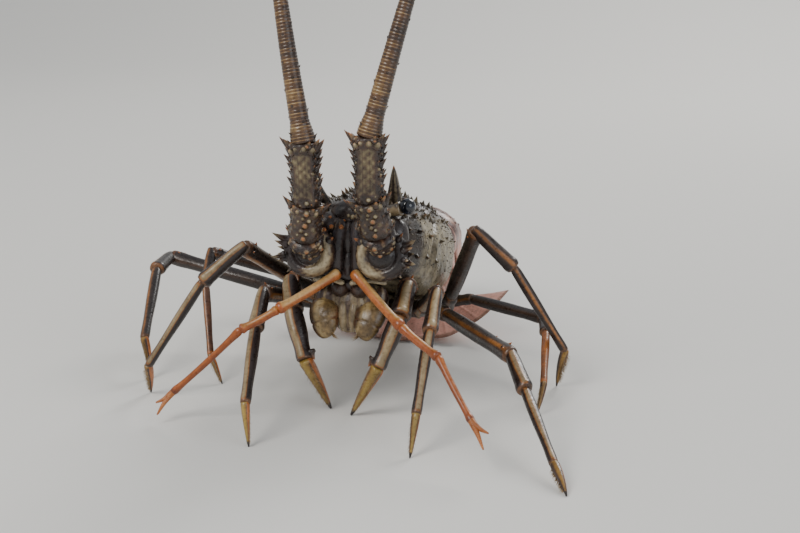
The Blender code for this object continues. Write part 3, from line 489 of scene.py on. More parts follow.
def shell_finish(name, ramp, warm=ORANGE, dark=DARK_SHELL, cool=PAINTED_SHEEN_SLATE, wobble=0.22, mottle=0.45,
                 dots=0.0, dot_scale=330.0, rough=(0.24, 0.5), grain=0.25, coat=0.25):
    """Painted shell: a ramp over the pale mark, shifted by noise, then orange, dark and a painted blue-grey
    sheen over it where their marks say, darkened in small dots and blotches, with a pitted, lightly wrinkled
    surface."""
    finish, tree, shader = new_finish(name)
    place = add_node(tree, 'ShaderNodeTexCoord').outputs["Object"]
    blotch = add_node(tree, 'ShaderNodeTexNoise', Vector=place, Scale=95.0, Detail=4.0,
                      Roughness=0.6).outputs[0]
    fine = add_node(tree, 'ShaderNodeTexNoise', Vector=place, Scale=620.0, Detail=3.0,
                    Roughness=0.65).outputs[0]
    marks = {mark: add_node(tree, 'ShaderNodeAttribute', (("attribute_name", mark),)).outputs["Fac"]
             for mark in MARKS}
    shift = arithmetic(tree, 'MULTIPLY_ADD', blotch, wobble, -wobble / 2)
    shift = arithmetic(tree, 'MULTIPLY_ADD', fine, wobble * 0.5, shift)
    shift = arithmetic(tree, 'SUBTRACT', shift, wobble * 0.25)
    tone = arithmetic(tree, 'ADD', marks["pale"], shift)
    steps = add_node(tree, 'ShaderNodeValToRGB', Fac=tone)
    stops = steps.color_ramp.elements
    while len(stops) < len(ramp):
        stops.new(0.5)
    for stop, (position, shade) in zip(stops, ramp):
        stop.position = position
        stop.color = shade
    paint = steps.outputs[0]
    # The first mark here paints a blue-grey sheen as colour; orange and dark go over it
    for mark, shade in (("cool", cool), ("warm", warm), ("dark", dark)):
        cover = fitted(tree, arithmetic(tree, 'ADD', marks[mark], shift), 0.3, 0.72)
        paint = mix_colour(tree, cover, paint, shade)
    shade = fitted(tree, blotch, 0.3, 0.7, 1.0 - mottle, 1.0)
    shade_fine = fitted(tree, fine, 0.32, 0.66, 1.0 - mottle * 0.7, 1.0)
    both = arithmetic(tree, 'MULTIPLY', shade, shade_fine)
    if dots:
        cells = add_node(tree, 'ShaderNodeTexVoronoi', Vector=place, Scale=dot_scale,
                         Randomness=0.75).outputs["Distance"]
        both = arithmetic(tree, 'MULTIPLY', both, fitted(tree, cells, 0.16, 0.34, 1.0 - dots, 1.0))
    grey = add_node(tree, 'ShaderNodeCombineColor', Red=both, Green=both, Blue=both).outputs[0]
    paint = mix_colour(tree, 1.0, paint, grey, 'MULTIPLY')
    tree.links.new(paint, shader.inputs["Base Color"])
    tree.links.new(fitted(tree, fine, 0.3, 0.7, rough[0], rough[1]), shader.inputs["Roughness"])
    pits = add_node(tree, 'ShaderNodeTexVoronoi', Vector=place, Scale=760.0).outputs["Distance"]
    relief = arithmetic(tree, 'MULTIPLY_ADD', pits, 0.6, fine)
    relief = arithmetic(tree, 'MULTIPLY_ADD', blotch, 1.5, relief)
    lift = add_node(tree, 'ShaderNodeBump', Strength=grain, Distance=0.0005, Height=relief).outputs[0]
    tree.links.new(lift, shader.inputs["Normal"])
    shader.inputs["Coat Weight"].default_value = coat
    shader.inputs["Coat Roughness"].default_value = 0.22
    return finish


LEG_RAMP = ((0.0, DARK_SHELL), (0.30, colour(0.040, 0.021, 0.015)), (0.42, BROWN_SHELL),
            (0.52, colour(0.36, 0.135, 0.028)), (0.64, colour(0.30, 0.20, 0.095)),
            (1.0, colour(0.48, 0.365, 0.20)))
FINISHES = {
    "carapace": shell_finish("carapace shell, mottled", (
        (0.0, DARK_SHELL), (0.3, colour(0.055, 0.038, 0.03)), (0.55, colour(0.21, 0.165, 0.105)),
        (0.8, colour(0.39, 0.32, 0.205)), (1.0, CREAM)), dots=0.6, mottle=0.5, grain=0.45),
    "face": shell_finish("head shell, dark purple-brown", (
        (0.0, DARK_SHELL), (0.35, colour(0.045, 0.028, 0.026)), (0.5, BROWN_SHELL), (0.62, TAN),
        (1.0, CREAM)), mottle=0.5, grain=0.35),
    "antenna": shell_finish("antenna joints, dark with tan panel", (
        (0.0, DARK_SHELL), (0.3, colour(0.05, 0.028, 0.02)), (0.5, BROWN_SHELL),
        (0.68, colour(0.22, 0.17, 0.085)), (1.0, CREAM)), mottle=0.5, grain=0.35),
    "whip": shell_finish("antenna whip, ringed", (
        (0.0, DARK_SHELL), (0.3, colour(0.055, 0.028, 0.017)), (0.5, colour(0.13, 0.062, 0.025)),
        (0.75, colour(0.33, 0.20, 0.075)), (1.0, colour(0.48, 0.36, 0.17))), wobble=0.3, mottle=0.35,
        warm=colour(0.26, 0.10, 0.03), grain=0.2),
    "leg": shell_finish("leg shell, striped", LEG_RAMP, mottle=0.35, grain=0.22, wobble=0.14),
    "claw": shell_finish("claw, ochre to dark tip", (
        (0.0, DARK_SHELL), (0.3, BROWN_SHELL), (0.5, colour(0.30, 0.15, 0.025)),
        (0.8, colour(0.42, 0.28, 0.06)), (1.0, colour(0.55, 0.42, 0.14))), mottle=0.35, grain=0.22),
    "feeler": shell_finish("small feeler, orange", (
        (0.0, colour(0.17, 0.036, 0.010)), (0.4, colour(0.44, 0.105, 0.014)),
        (0.7, colour(0.52, 0.24, 0.06)), (1.0, colour(0.62, 0.43, 0.19))), mottle=0.3, grain=0.15),
    # Tail: its own rose-pink, with the salmon brightened into a painted glow that stands in for light
    # shining through the thin shell and fan
    "tail": shell_finish("tail shell, rose-brown", (
        (0.0, colour(0.05, 0.026, 0.024)), (0.35, colour(0.16, 0.075, 0.06)),
        (0.6, colour(0.42, 0.21, 0.15)), (0.85, colour(0.62, 0.41, 0.31)), (1.0, CREAM)),
        warm=colour(0.93, 0.50, 0.40), dots=0.15, mottle=0.25, grain=0.3),
    "breast": shell_finish("breast plate, tan and brown", (
        (0.0, DARK_SHELL), (0.35, BROWN_SHELL), (0.6, colour(0.25, 0.18, 0.09)), (1.0, CREAM)),
        mottle=0.4),
    "mouth": shell_finish("jaw feet, olive", (
        (0.0, DARK_SHELL), (0.3, colour(0.12, 0.062, 0.02)), (0.6, colour(0.36, 0.24, 0.095)),
        (1.0, colour(0.60, 0.47, 0.25))), warm=colour(0.17, 0.06, 0.018), mottle=0.5, wobble=0.42),
    "bristle": shell_finish("bristles, straw", (
        (0.0, colour(0.12, 0.06, 0.02)), (0.5, colour(0.38, 0.24, 0.10)),
        (1.0, colour(0.62, 0.52, 0.34))), mottle=0.2, grain=0.0, coat=0.0),
}


def eye_finish():
    """Glossy blue-black, its facets a fine cell pattern in colour and bump."""
    finish, tree, shader = new_finish("eye, glossy blue-black")
    place = add_node(tree, 'ShaderNodeTexCoord').outputs["Object"]
    cells = add_node(tree, 'ShaderNodeTexVoronoi', Vector=place, Scale=4200.0,
                     Randomness=0.1).outputs["Distance"]
    cloud = add_node(tree, 'ShaderNodeTexNoise', Vector=place, Scale=300.0).outputs[0]
    mark = add_node(tree, 'ShaderNodeAttribute', (("attribute_name", "pale"),)).outputs["Fac"]
    ball = mix_colour(tree, fitted(tree, cloud, 0.35, 0.65), colour(0.002, 0.003, 0.006),
                      colour(0.005, 0.010, 0.024))
    stalk = mix_colour(tree, fitted(tree, cloud, 0.35, 0.65), colour(0.03, 0.02, 0.016), TAN)
    tree.links.new(mix_colour(tree, fitted(tree, mark, 0.4, 0.6), ball, stalk), shader.inputs["Base Color"])
    tree.links.new(fitted(tree, mark, 0.4, 0.6, 0.07, 0.45), shader.inputs["Roughness"])
    tree.links.new(add_node(tree, 'ShaderNodeBump', Strength=0.05, Distance=0.0001,
                            Height=cells).outputs[0], shader.inputs["Normal"])
    shader.inputs["Coat Weight"].default_value = 0.6
    shader.inputs["Coat Roughness"].default_value = 0.04
    return finish


FINISHES["eye"] = eye_finish()


# Carapace

def shell_surface(place, turn):
    """Body-frame points of the carapace at y = place and angle turn from +X: a superellipse whose width,
    top, middle and underside are curves through the stations, lowered by the grooves."""
    wide, top, middle, bottom = np.moveaxis(
        curve_through(CARAPACE_STATIONS[:, 0], CARAPACE_STATIONS[:, 1:], place), -1, 0)
    cosine = np.cos(turn)
    sine = np.sin(turn)
    upper = sine >= 0
    down = np.degrees(np.abs(np.arctan2(cosine, sine)))
    depth = carapace_relief(place, down, np.sign(cosine))
    x = (wide + depth) * np.where(upper, wave_power(cosine, UPPER_ROUNDNESS),
                                  wave_power(cosine, LOWER_ROUNDNESS))
    rise = middle + (top + depth - middle) * wave_power(sine, UPPER_ROUNDNESS)
    fall = middle + (middle - bottom + LOWER_REACH + depth) * wave_power(sine, LOWER_ROUNDNESS)
    z = np.where(upper, rise, np.maximum(fall, bottom))
    return stacked(x, place, z)


def neck_line(down):
    """Where the neck groove runs: 57 on the back, easing forward by 25 down the flanks."""
    return 57.0 - 25.0 * ease((down - 18) / 95)


def carapace_relief(place, down, side):
    """Height over the plain shell: the neck groove that runs forward down the flanks, two long grooves and
    low swellings behind it, the rim at the back, and fine cross wrinkles low on the flanks."""
    neck = neck_line(down)
    height = -2.0 * hump(place, neck, 2.1) * (1 - ease((down - 100) / 25))
    height = height + 0.8 * hump(place, neck + 5.0, 3.5) * (1 - ease((down - 100) / 25))
    behind = ease((place - neck - 4) / 8)
    height = height - 0.8 * behind * hump(down, 24, 3.2) * (1 - ease((place - 104) / 8))
    height = height + 0.5 * behind * hump(down, 50, 16)
    height = height - 1.1 * hump(place, 110.5, 1.3) + 0.5 * hump(place, 114.5, 2.2)
    height = height + 0.22 * np.sin(place / 3.1 + 2.0 * np.sin(down / 9.0)) * np.sin(down / 5.3 + side)
    wrinkle = np.sin(place * 3.3 + 1.5 * np.sin(down / 6.0 + side))
    height = height + 0.10 * wrinkle * hump(down, 88, 26) * ease((place - 12) / 10)
    rows = np.clip(np.sin(down / 3.2 + 0.7 * side), 0, 1) * np.clip(np.sin(place / 1.15), 0, 1)
    return height + 0.28 * rows * ease((place - 6) / 6) * (1 - ease((down - 108) / 10))


def shell_station(place, degrees, side):
    """Points on the carapace and the outward directions there, in the world."""
    place = np.asarray(place, float)
    turn = np.radians(90 - side * np.asarray(degrees, float))
    step = 0.02
    here = shell_surface(place, turn)
    along = here - shell_surface(place - 1.0, turn)
    around = shell_surface(place, turn + step) - here
    outward = unit(np.cross(along, around))
    radial = outward[..., 2] * np.sin(turn) + outward[..., 0] * np.cos(turn)
    outward = outward * np.where(radial < 0, -1, 1)[..., None]
    return in_world(here), way_in_world(outward)


def drawn_in(ring, height, inward, place):
    """A ring drawn toward the point at x = 0, z = height to a share of its size, and set at y = place."""
    edge = ring.copy()
    edge[:, [0, 2]] = (0, height) + (edge[:, [0, 2]] - (0, height)) * inward
    edge[:, 1] = place
    return edge


def make_carapace():
    """Shell, spines, granules and brow horns of the carapace."""
    piece = Piece()
    columns = 176
    turn = angles(columns)[None]
    outer = np.linspace(2.0, 118.0, 250)[:, None]
    rings = shell_surface(outer + 0 * turn, turn + 0 * outer)
    lip = [drawn_in(rings[0], -26.0, inward, 2.0 - push) for push, inward in
           ((4.8, 0.4), (4.6, 0.64), (4.0, 0.78), (3.0, 0.88), (1.8, 0.95), (0.9, 0.985))]
    hem = [drawn_in(rings[-1], -37.0, inward, 118.0 + push) for push, inward in
           ((0.8, 0.985), (1.0, 0.95), (0.2, 0.90))]
    whole = np.concatenate([np.array(lip), rings, np.array(hem)])
    place = whole[..., 1]
    down = np.degrees(np.abs(np.arctan2(np.cos(turn), np.sin(turn)))) + 0 * place
    flank = ease((down - 46) / 22) * ease((place - 14) / 12)
    # Painted shade: the shell is made darker along the neck groove
    pale = 0.16 + 0.70 * flank - 0.25 * hump(place, neck_line(down), 2.4)
    pale = pale - 0.22 * flank * np.clip(np.sin(place / 1.15), 0, 1) * np.clip(np.sin(down / 2.3), 0, 1)
    pale = pale + 0.16 * np.clip(np.sin(down / 3.2), 0, 1) * (1 - flank)
    pale = pale + 0.25 * hump(place, 114.5, 2.5)
    # Painted sheen: blue-grey laid over the top of the carapace, where light glances off the back
    cool = 0.52 * (1 - ease((down - 38) / 26)) * ease((place - 8) / 14)
    warm = 0.4 * hump(place, 117.5, 1.2)
    piece.rings(in_world(whole), pale=pale, cool=cool, warm=warm)

    draw = random.Random(7)
    forward = way_in_world((0, -1, 0))
    for degrees, first, last, count, length in SPINE_ROWS:
        for side in (SIDES if degrees else (1,)):
            for index in range(count):
                place = first + (last - first) * index / (count - 1) + draw.uniform(-1.5, 1.5)
                angle = degrees + draw.uniform(-2.5, 2.5)
                root, outward = shell_station(place, angle, side)
                size = length * draw.uniform(0.85, 1.15) * (1.0 - 0.38 * ease((degrees - 40) / 30))
                aim = unit(outward * 0.75 + forward * 0.9)
                low = float(ease((degrees - 46) / 20) * ease((place - 16) / 14))
                tint = 0.6 if place < 34 else 0.3
                piece.spikes(root - outward * 0.3, aim, size, 0.22 * size + 0.3,
                             lean=forward * 0.22 + outward * 0.08, sides=12, sunk=0.25,
                             pale=(0.15 + 0.4 * low, 0.80), warm=(0.05, tint))
    scatter = np.random.default_rng(11)
    place = 5 + 110 * scatter.random(GRANULES)
    angle = 2 + 108 * scatter.random(GRANULES) ** 0.9
    side = np.where(scatter.random(GRANULES) < 0.5, -1, 1)
    keep = (np.abs(place - neck_line(angle)) > 2.6) & (place < 109)
    place, angle, side = place[keep], angle[keep], side[keep]
    roots, outward = shell_station(place, angle, side)
    low = ease((angle - 50) / 20)
    size = (0.45 + 0.75 * scatter.random(len(place)) ** 2) * (1 - 0.35 * low)
    piece.spikes(roots - outward * 0.1, unit(outward + forward * 0.55),
                 size * (1.5 - 0.6 * low), size * 0.62, lean=forward * 0.3, sides=6, blunt=0.4,
                 pale=(0.25, 0.62), shares=(0, 0.35, 0.75))

    for side in SIDES:
        add_horn(piece, side)
    beak = in_world((0, 3.0, -3.5))
    piece.spikes(beak, way_in_world((0, -1, 0.3)), 6.5, 2.3, lean=way_in_world((0, 0, 0.2)), sides=14,
                 pale=(0.1, 0.5), warm=(0.0, 0.6))
    piece.make("carapace_shell", FINISHES["carapace"], ("carapace",))


def add_horn(piece, side):
    """A brow horn: ellipses along a curve through its three points, from a broad foot to a sharp tip."""
    knots = np.array(HORN) * (side, 1, 1)
    foot = knots[0] + (knots[0] - knots[1]) * 0.35
    path = in_world(path_through(np.concatenate([[foot], knots]), 56))
    share = np.linspace(0, 1, 56)
    wide = curve_through((0, 0.25, 0.6, 0.9, 1), (6.2, 4.6, 2.8, 1.1, 0.2), share)
    high = curve_through((0, 0.25, 0.6, 0.9, 1), (5.0, 3.4, 2.2, 0.9, 0.2), share)
    turn = angles(28)
    ridge = 1 + 0.05 * np.cos(7 * turn)[None] * (1 - share)[:, None]
    rings, across, _ = sweep(path, wide, high, 28, (0, 0, 1), swell=ridge)
    pale = 0.22 + 0.22 * np.cos(7 * turn)[None] + 0.25 * share[:, None]
    piece.rings(rings, pale=pale, warm=0.75 * ease((share - 0.9) / 0.1)[:, None])
    rows = np.array((14, 20, 26, 32))
    out = across[rows] * side * -1
    piece.spikes(path[rows] + out * wide[rows][:, None] * 0.9,
                 out * 0.8 + unit(path[rows + 3] - path[rows]) * 0.7, (2.2, 1.9, 1.6, 1.2),
                 (0.9, 0.8, 0.7, 0.6), pale=(0.2, 0.6), warm=(0, 0.6))


# Head

def knob_places(seed, count, shares, degrees):
    """Seeded places for knobs on a tube: shares of its length and turns round it, kept apart by rows."""
    scatter = np.random.default_rng(seed)
    steps = (np.arange(count) + scatter.random(count)) / count
    turn = np.radians(degrees[0] + (degrees[1] - degrees[0]) * ((np.arange(count) * 0.618) % 1.0))
    return shares[0] + (shares[1] - shares[0]) * steps, turn + 0.12 * scatter.standard_normal(count)


def knob_patches(places, share, turn, reach, radius, width):
    """Paint round the knobs of a tube: the highest bell over the distance to any of them."""
    spots, turns = places
    up = (share[:, None, None] - spots) * reach
    round_it = (np.mod(turn[None, :, None] - turns + math.pi, TAU) - math.pi) * radius
    return np.exp(-(up ** 2 + round_it ** 2) / width ** 2).max(2)


def add_domes(piece, roots, aims, lengths, radii, blunt, foot, tones):
    """Low domes on points, every third one alike: each of the three tones gives a tip's orange and pale."""
    for start, (tint, light) in enumerate(tones):
        pick = slice(start, None, 3)
        piece.spikes(roots[pick], aims[pick], lengths[pick], radii[pick], blunt=blunt, sides=12,
                     pale=(foot, light), warm=(0.0, tint))


def add_knobs(piece, places, path, share, size, across, top, big):
    """Low domes of changing size on a tube at the places given, pale on top, every third one orange."""
    spots, turns = places
    index = np.clip(np.searchsorted(share, spots), 1, len(share) - 2)
    out = around(across[index], top[index], turns)
    roots = path[index] + out * (size[index] * 0.93)[:, None]
    radius = big * (0.34 + 0.80 * np.sin(np.arange(len(spots)) * 2.7) ** 4)
    add_domes(piece, roots, out + np.array((0, -0.1, 0.25)), radius * 1.05, radius, 0.9, 0.35,
              ((0.15, 0.95), (0.62, 0.8), (0.3, 0.7)))


def turned(axis_start, axis_end, profile, columns, up=(0, 0, 1)):
    """A turned form: circles of the profile's radius r at distance a along an axis. Returns the rings, their
    angles and the direction that the angles start from."""
    axis_start = np.asarray(axis_start, float)
    along = unit(np.asarray(axis_end, float) - axis_start)
    profile = np.asarray(profile, float)
    side = unit(np.cross(along, up))
    top = np.cross(side, along)
    turn = angles(columns)
    wheel = around(side, top, turn)
    rings = (axis_start + profile[:, 0, None, None] * along + profile[:, 1, None, None] * wheel[None])
    return rings, turn, side


def profile_through(pairs, count):
    """A smooth profile through (distance, radius) pairs, spaced by the length of their chords."""
    return path_through(np.array([(a, r, 0.0) for a, r in pairs]), count)[:, :2]


def ellipsoid(centre, radii, rows=28, columns=36):
    """(rx cos t sin p, ry sin t sin p, rz cos p) about a centre in the body frame."""
    polar = np.linspace(0.02, math.pi - 0.02, rows)[:, None]
    turn = angles(columns)[None]
    points = stacked(radii[0] * np.cos(turn) * np.sin(polar), radii[1] * np.sin(turn) * np.sin(polar),
                     radii[2] * np.cos(polar))
    return in_world(np.asarray(centre) + points)


def add_oval(piece, centre, radii, pale, streaks=0, swing=0.0, **marks):
    """An ellipsoid whose paleness swings up and down in a number of streaks round it."""
    piece.rings(ellipsoid(centre, radii), pale=pale + swing * np.sin(angles(36) * streaks)[None], **marks)


def make_face():
    """Plate between eyes and mouth, its two upright ridges, the antennae's basal drums and the lips."""
    piece = Piece()
    depth = np.linspace(0, 1, 40)
    y = 1.9 - 12.9 * depth
    wide = curve_through((0, 0.45, 0.8, 1), (22.2, 21.0, 17.5, 13.5), depth) * domed(depth, 0.02, 0.12)
    middle = curve_through((0, 0.5, 1), (-26.5, -28.0, -30.5), depth)
    high = curve_through((0, 0.5, 1), (14.6, 14.0, 11.5), depth) * domed(depth, 0.02, 0.12)
    turn = angles(72)
    core = stacked(wide[:, None] * wave_power(np.cos(turn), 3.2), y[:, None],
                   middle[:, None] + high[:, None] * wave_power(np.sin(turn), 3.2))
    # Painted sheen: a faint blue-grey highlight over the plate
    piece.rings(in_world(core), pale=0.12, cool=0.15)
    for side in SIDES:
        run = np.linspace(0, 1, 44)
        ridge = np.stack([side * (3.0 + 2.1 * np.sin(run * 2.2)), -9.2 - 2.6 * np.sin(run * 2.7 + 0.2),
                          -12.5 - 27.0 * run], 1)
        size = 3.4 * domed(run, 0.25, 0.2) + 0.05
        rings, _, _ = sweep(in_world(ridge), size, size * 0.9, 24, (0, -1, 0))
        streak = 0.24 + 0.24 * (0.5 + 0.5 * np.sin(angles(24) * 6))[None] * hump(run, 0.42, 0.34)[:, None]
        # Painted sheen: a blue-grey highlight part way up each ridge and on the ovals beside it
        piece.rings(rings, pale=streak, cool=0.45 * hump(run, 0.30, 0.35)[:, None])
        add_oval(piece, (side * 4.3, -11.2, -19.5), (3.1, 2.9, 6.6), 0.44, 8, 0.13, cool=0.12)
        add_oval(piece, (side * 10.5, -7.5, -15.5), (6.5, 6.0, 5.5), 0.30, 6, 0.12, cool=0.30)
        add_oval(piece, (side * 21.5, -3.5, -20.5), (6.2, 6.5, 8.5), 0.18, dark=0.3)
        add_drum(piece, side)
    # Painted sheen: a little blue-grey highlight on the middle dome and the crown lobes
    add_oval(piece, (0, -4.6, -10.6), (10.6, 7.2, 6.9), 0.34, 7, 0.13, cool=0.15)
    for lobe in CROWN_LOBES:
        add_oval(piece, *lobe, cool=0.12)
    add_lips(piece)
    add_face_knobs(piece)
    piece.make("face_shell", FINISHES["face"], ("face",))


def add_drum(piece, side):
    """The antenna's basal joint: a turned drum with a low boss on its front, pale in a broad crescent on the
    inner side of the boss, and the knobbed neck that leaves it upward."""
    start, end = mirrored(BARREL, side)
    outline = profile_through(DRUM_OUTLINE, 96)
    rings, turn, across = turned(start, end, outline, 96)
    inner = np.arctan2(-0.25, -side * across[0])
    front = ease((outline[:, 0] - 8.0) / 3.0)
    radius = outline[:, 1]
    crescent = ease(0.40 + 0.95 * np.cos(turn - inner))[None] * hump(radius, 9.4, 2.6)[:, None]
    crescent = crescent * (0.82 + 0.18 * np.sin(turn * 7 + 1.3)[None] * np.sin(radius * 1.9)[:, None])
    lower = ease(0.1 + np.cos(turn + math.pi / 2))[None] * hump(outline[:, 0], 9.0, 3.0)[:, None]
    speckle = 0.20 * (0.5 + 0.5 * np.sin(turn * 17)[None] * np.sin(radius * 3.1)[:, None]) * front[:, None]
    disc = ease((7.2 - radius) / 0.8) * front
    piece.rings(rings, pale=0.14 + 0.80 * crescent * front[:, None] + 0.30 * lower + speckle,
                dark=0.55 * disc[:, None], warm=0.25 * lower)
    points = mirrored(ANTENNA[side], side)
    reach = float(np.linalg.norm(points[1] - points[0])) + 1.5
    share = crowded(60)
    path = points[0] + unit(points[1] - points[0]) * (reach * share)[:, None]
    size = curve_through((0, 0.35, 0.7, 0.9, 1), (5.2, 7.2, 7.7, 8.1, 7.2), share) * domed(share, 0.05, 0.1)
    turn = angles(56)
    lumps = 1 + 0.05 * np.sin(6 * turn)[None] * np.sin(share * 24)[:, None]
    rings, across, top = sweep(path, size + 0.05, size + 0.05, 56, (0, 0, 1), swell=lumps)
    places = knob_places(31 + side, 30, (0.34, 0.95), (180, 360))
    patches = knob_patches(places, share, turn, reach, 7.5, 1.5)
    band = 0.5 + 0.5 * np.cos(share * 26)
    piece.rings(rings, pale=(0.1 + 0.22 * band)[:, None] + 0.40 * patches,
                warm=(0.35 * band * ease((share - 0.5) / 0.3))[:, None] + 0.15 * patches)
    add_knobs(piece, places, path, share, size, across, top, 1.3)


def add_lips(piece):
    """Upper lip, jaws and mouth blades under the face: a pale-edged flap, two rounded jaws that meet in the
    middle, and upright ovals with fine streaks behind the jaw feet."""
    run = np.linspace(0, 1, 36)
    for side in SIDES:
        edge = np.stack([side * (1.2 + 17.0 * run), -10.8 + 6.0 * run ** 1.5,
                         -43.6 + 1.7 * np.sin(run * 3.0)], 1)
        size = 1.15 * domed(run, 0.08, 0.2) + 0.05
        rings, _, _ = sweep(in_world(edge), size * 1.5, size, 18, (0, 0, 1))
        piece.rings(rings, pale=0.95)
        add_oval(piece, (side * 4.6, -2.0, -46.5), (4.9, 7.5, 5.0), 0.42)
        for x, y, z, wide, high, light in MOUTH_BLADES:
            add_oval(piece, (side * x, y, z), (wide, 4.4, high), light, 5, 0.10, warm=0.22)
    add_oval(piece, (0, -3.4, -57.5), (9.5, 4.2, 10.5), 0.60, 9, 0.12, warm=0.2)
    depth = np.linspace(0, 1, 30)
    path = in_world(np.stack([0 * depth, 15.5 - 22.5 * depth, -47.8 + 4.6 * depth ** 2], 1))
    closing = domed(depth, 0.15, 0.3)
    rings, _, _ = sweep(path, 8.6 * closing + 0.05, 4.0 * closing + 0.05, 32, (0, 0, 1), power=2.6)
    piece.rings(rings, pale=0.3)


def add_face_knobs(piece):
    """Spines and pale or orange knobs on the drums, the cheeks and above them."""
    for side in SIDES:
        start, end = mirrored(BARREL, side)
        for degrees, share, length, radius, tint in DRUM_SPINES:
            turn = math.radians(degrees)
            out = way_in_world((side * math.cos(turn), -0.15, math.sin(turn)))
            root = start + (end - start) * share + out * BARREL_RADIUS * 0.95
            piece.spikes(root, out + way_in_world((0, -0.6, 0)), length, radius, sides=12,
                         lean=way_in_world((0, -0.1, 0.1)), blunt=0.5 if length < 3 else 0.0,
                         pale=(0.2, 0.75), warm=(0.05, tint))
    step = np.arange(22)
    small = np.stack([8.6 * np.sin(step * 2.4) * (1 + 0.5 * (step % 3)), -11.6 + 0.30 * (step % 5),
                      -11.5 - 0.62 * step], 1)
    aims = np.broadcast_to(way_in_world((0, -1, 0.3)), small.shape)
    add_domes(piece, in_world(small), aims, np.full(22, 1.5), np.full(22, 1.0), 1.0, 0.25,
              ((0.1, 0.9), (0.75, 0.7), (0.1, 0.55)))
    for *knob, tint in FACE_KNOBS:
        piece.spikes(in_world(knob), way_in_world((0, -1, 0.35)), 1.9, 1.35, blunt=1.0, sides=12,
                     pale=(0.3, 0.95), warm=(0.0, tint))


def make_eye(side):
    """A ball on a short stalk with a rim."""
    piece = Piece()
    centre = mirrored(np.array(EYE) + EYE_SHIFT, side)
    root = mirrored(EYE_STALK_ROOT, side)
    along = unit(centre - root)
    reach = np.linalg.norm(centre - root)
    polar = np.linspace(math.pi - 0.02, 0.02, 56)
    size = EYE_RADIUS + 0.1
    profile = np.stack([reach + size * np.cos(polar), size * np.sin(polar)], 1)
    rings, _, _ = turned(root, centre, profile, 60)
    piece.rings(rings)
    stalk = profile_through(((-1, 1.6), (0, 2.6), (3, 2.8), (6, 3.0), (8.4, 3.4), (9.4, 3.5), (9.9, 3.2),
                             (10.2, 2.0)), 40)
    rings, _, _ = turned(root, centre, stalk, 40)
    piece.rings(rings, pale=1.0)
    piece.spikes(root + along * 5 + np.array([0, 0, 2.6]), (0, -0.3, 1), 2.0, 0.9, pale=1.0)
    piece.make(f"eye_{WORDS[side]}_ball", FINISHES["eye"], (f"eye_{WORDS[side]}",))


# Antennae

def flagellum_path(side, count):
    """From the last joint up and outward: height grows evenly, the lean back with its square."""
    root = mirrored(ANTENNA[side], side)[3]
    lean = 0.245 if side > 0 else -0.205
    travel = FLAGELLUM_LENGTH * np.linspace(0, 1, count)
    return np.stack([root[0] + lean * travel - math.copysign(0.00012, lean) * travel ** 2,
                     root[1] + 0.13 * travel + 0.00085 * travel ** 2,
                     root[2] + travel * 0.96 - 0.00035 * travel ** 2], 1)


def make_antenna_joint(side, index, name):
    """One of the two free joints of an antenna's stem: a tube narrowed at both ends, with a long flat panel
    in front on the last one, spines up both edges and knobs between them."""
    piece = Piece()
    knots = mirrored(ANTENNA[side], side)
    start, end = knots[index], knots[index + 1]
    along = unit(end - start)
    reach = np.linalg.norm(end - start)
    last = index == 2
    share = crowded(76)
    path = start - along * 1.2 + (end - start + along * 2.4) * share[:, None]
    low, high = PEDUNCLE_RADII[index], PEDUNCLE_RADII[index + 1]
    size = curve_through((0, 0.12, 0.3, 0.62, 0.86, 0.94, 1),
                         (low * 0.84, low * 0.98, low * 0.97, (low + high) / 2 * 0.97, high * 1.10,
                          high * 1.12, high * 0.98), share)
    size = size * domed(share, 0.04, 0.035) + 0.05
    sides = 56
    turn = angles(sides)
    face_turn = math.pi / 2
    front = np.cos(turn - face_turn)
    panel = ease((front - 0.72) / 0.14)[None] * ease((share - 0.14) / 0.06)[:, None]
    panel = panel * (1 - ease((share - 0.80) / 0.05))[:, None] * (1.0 if last else 0.25)
    rim = hump(front, 0.72, 0.09)[None] * ease((share - 0.1) / 0.06)[:, None]
    rim = rim * (1 - ease((share - 0.84) / 0.05))[:, None]
    lumps = 0.035 * np.sin(9 * turn)[None] * np.sin(share * 34)[:, None]
    rings, across, top = sweep(path, size, size * 0.94, sides, (0, -1, 0),
                               swell=1 - 0.055 * panel + 0.03 * rim + lumps * (1 - panel))
    band = hump(share, 0.93, 0.03)[:, None]
    ring_tint = 0.30 * (0.5 + 0.5 * np.sin(share * 40))[:, None]
    streaks = (0.05 * np.sin(turn * 23)[None]
               + 0.11 * np.sin(share * 47)[:, None] * np.sin(turn * 9 + 2)[None])
    groups = LAST_JOINT_KNOBS if last else MIDDLE_JOINT_KNOBS
    places = tuple(np.concatenate(pair) for pair in zip(
        *(knob_places(seed + side, *group) for seed, *group in groups)))
    patches = knob_patches(places, share, turn, reach, float(size.mean()), 1.35)
    piece.rings(rings, pale=0.16 + (0.42 + streaks) * panel + 0.14 * rim + 0.20 * band + 0.42 * patches,
                warm=(0.3 if last else 0.8) * ring_tint * (1 - panel) + 0.2 * band + 0.12 * patches)
    add_joint_spines(piece, path, share, size, across, top, last, reach)
    add_knobs(piece, places, path, share, size * 0.98, across, top, 1.15 if last else 1.3)
    piece.make(f"antenna_{WORDS[side]}_{name}_shell", FINISHES["antenna"],
               (f"antenna_{WORDS[side]}_{name}",))


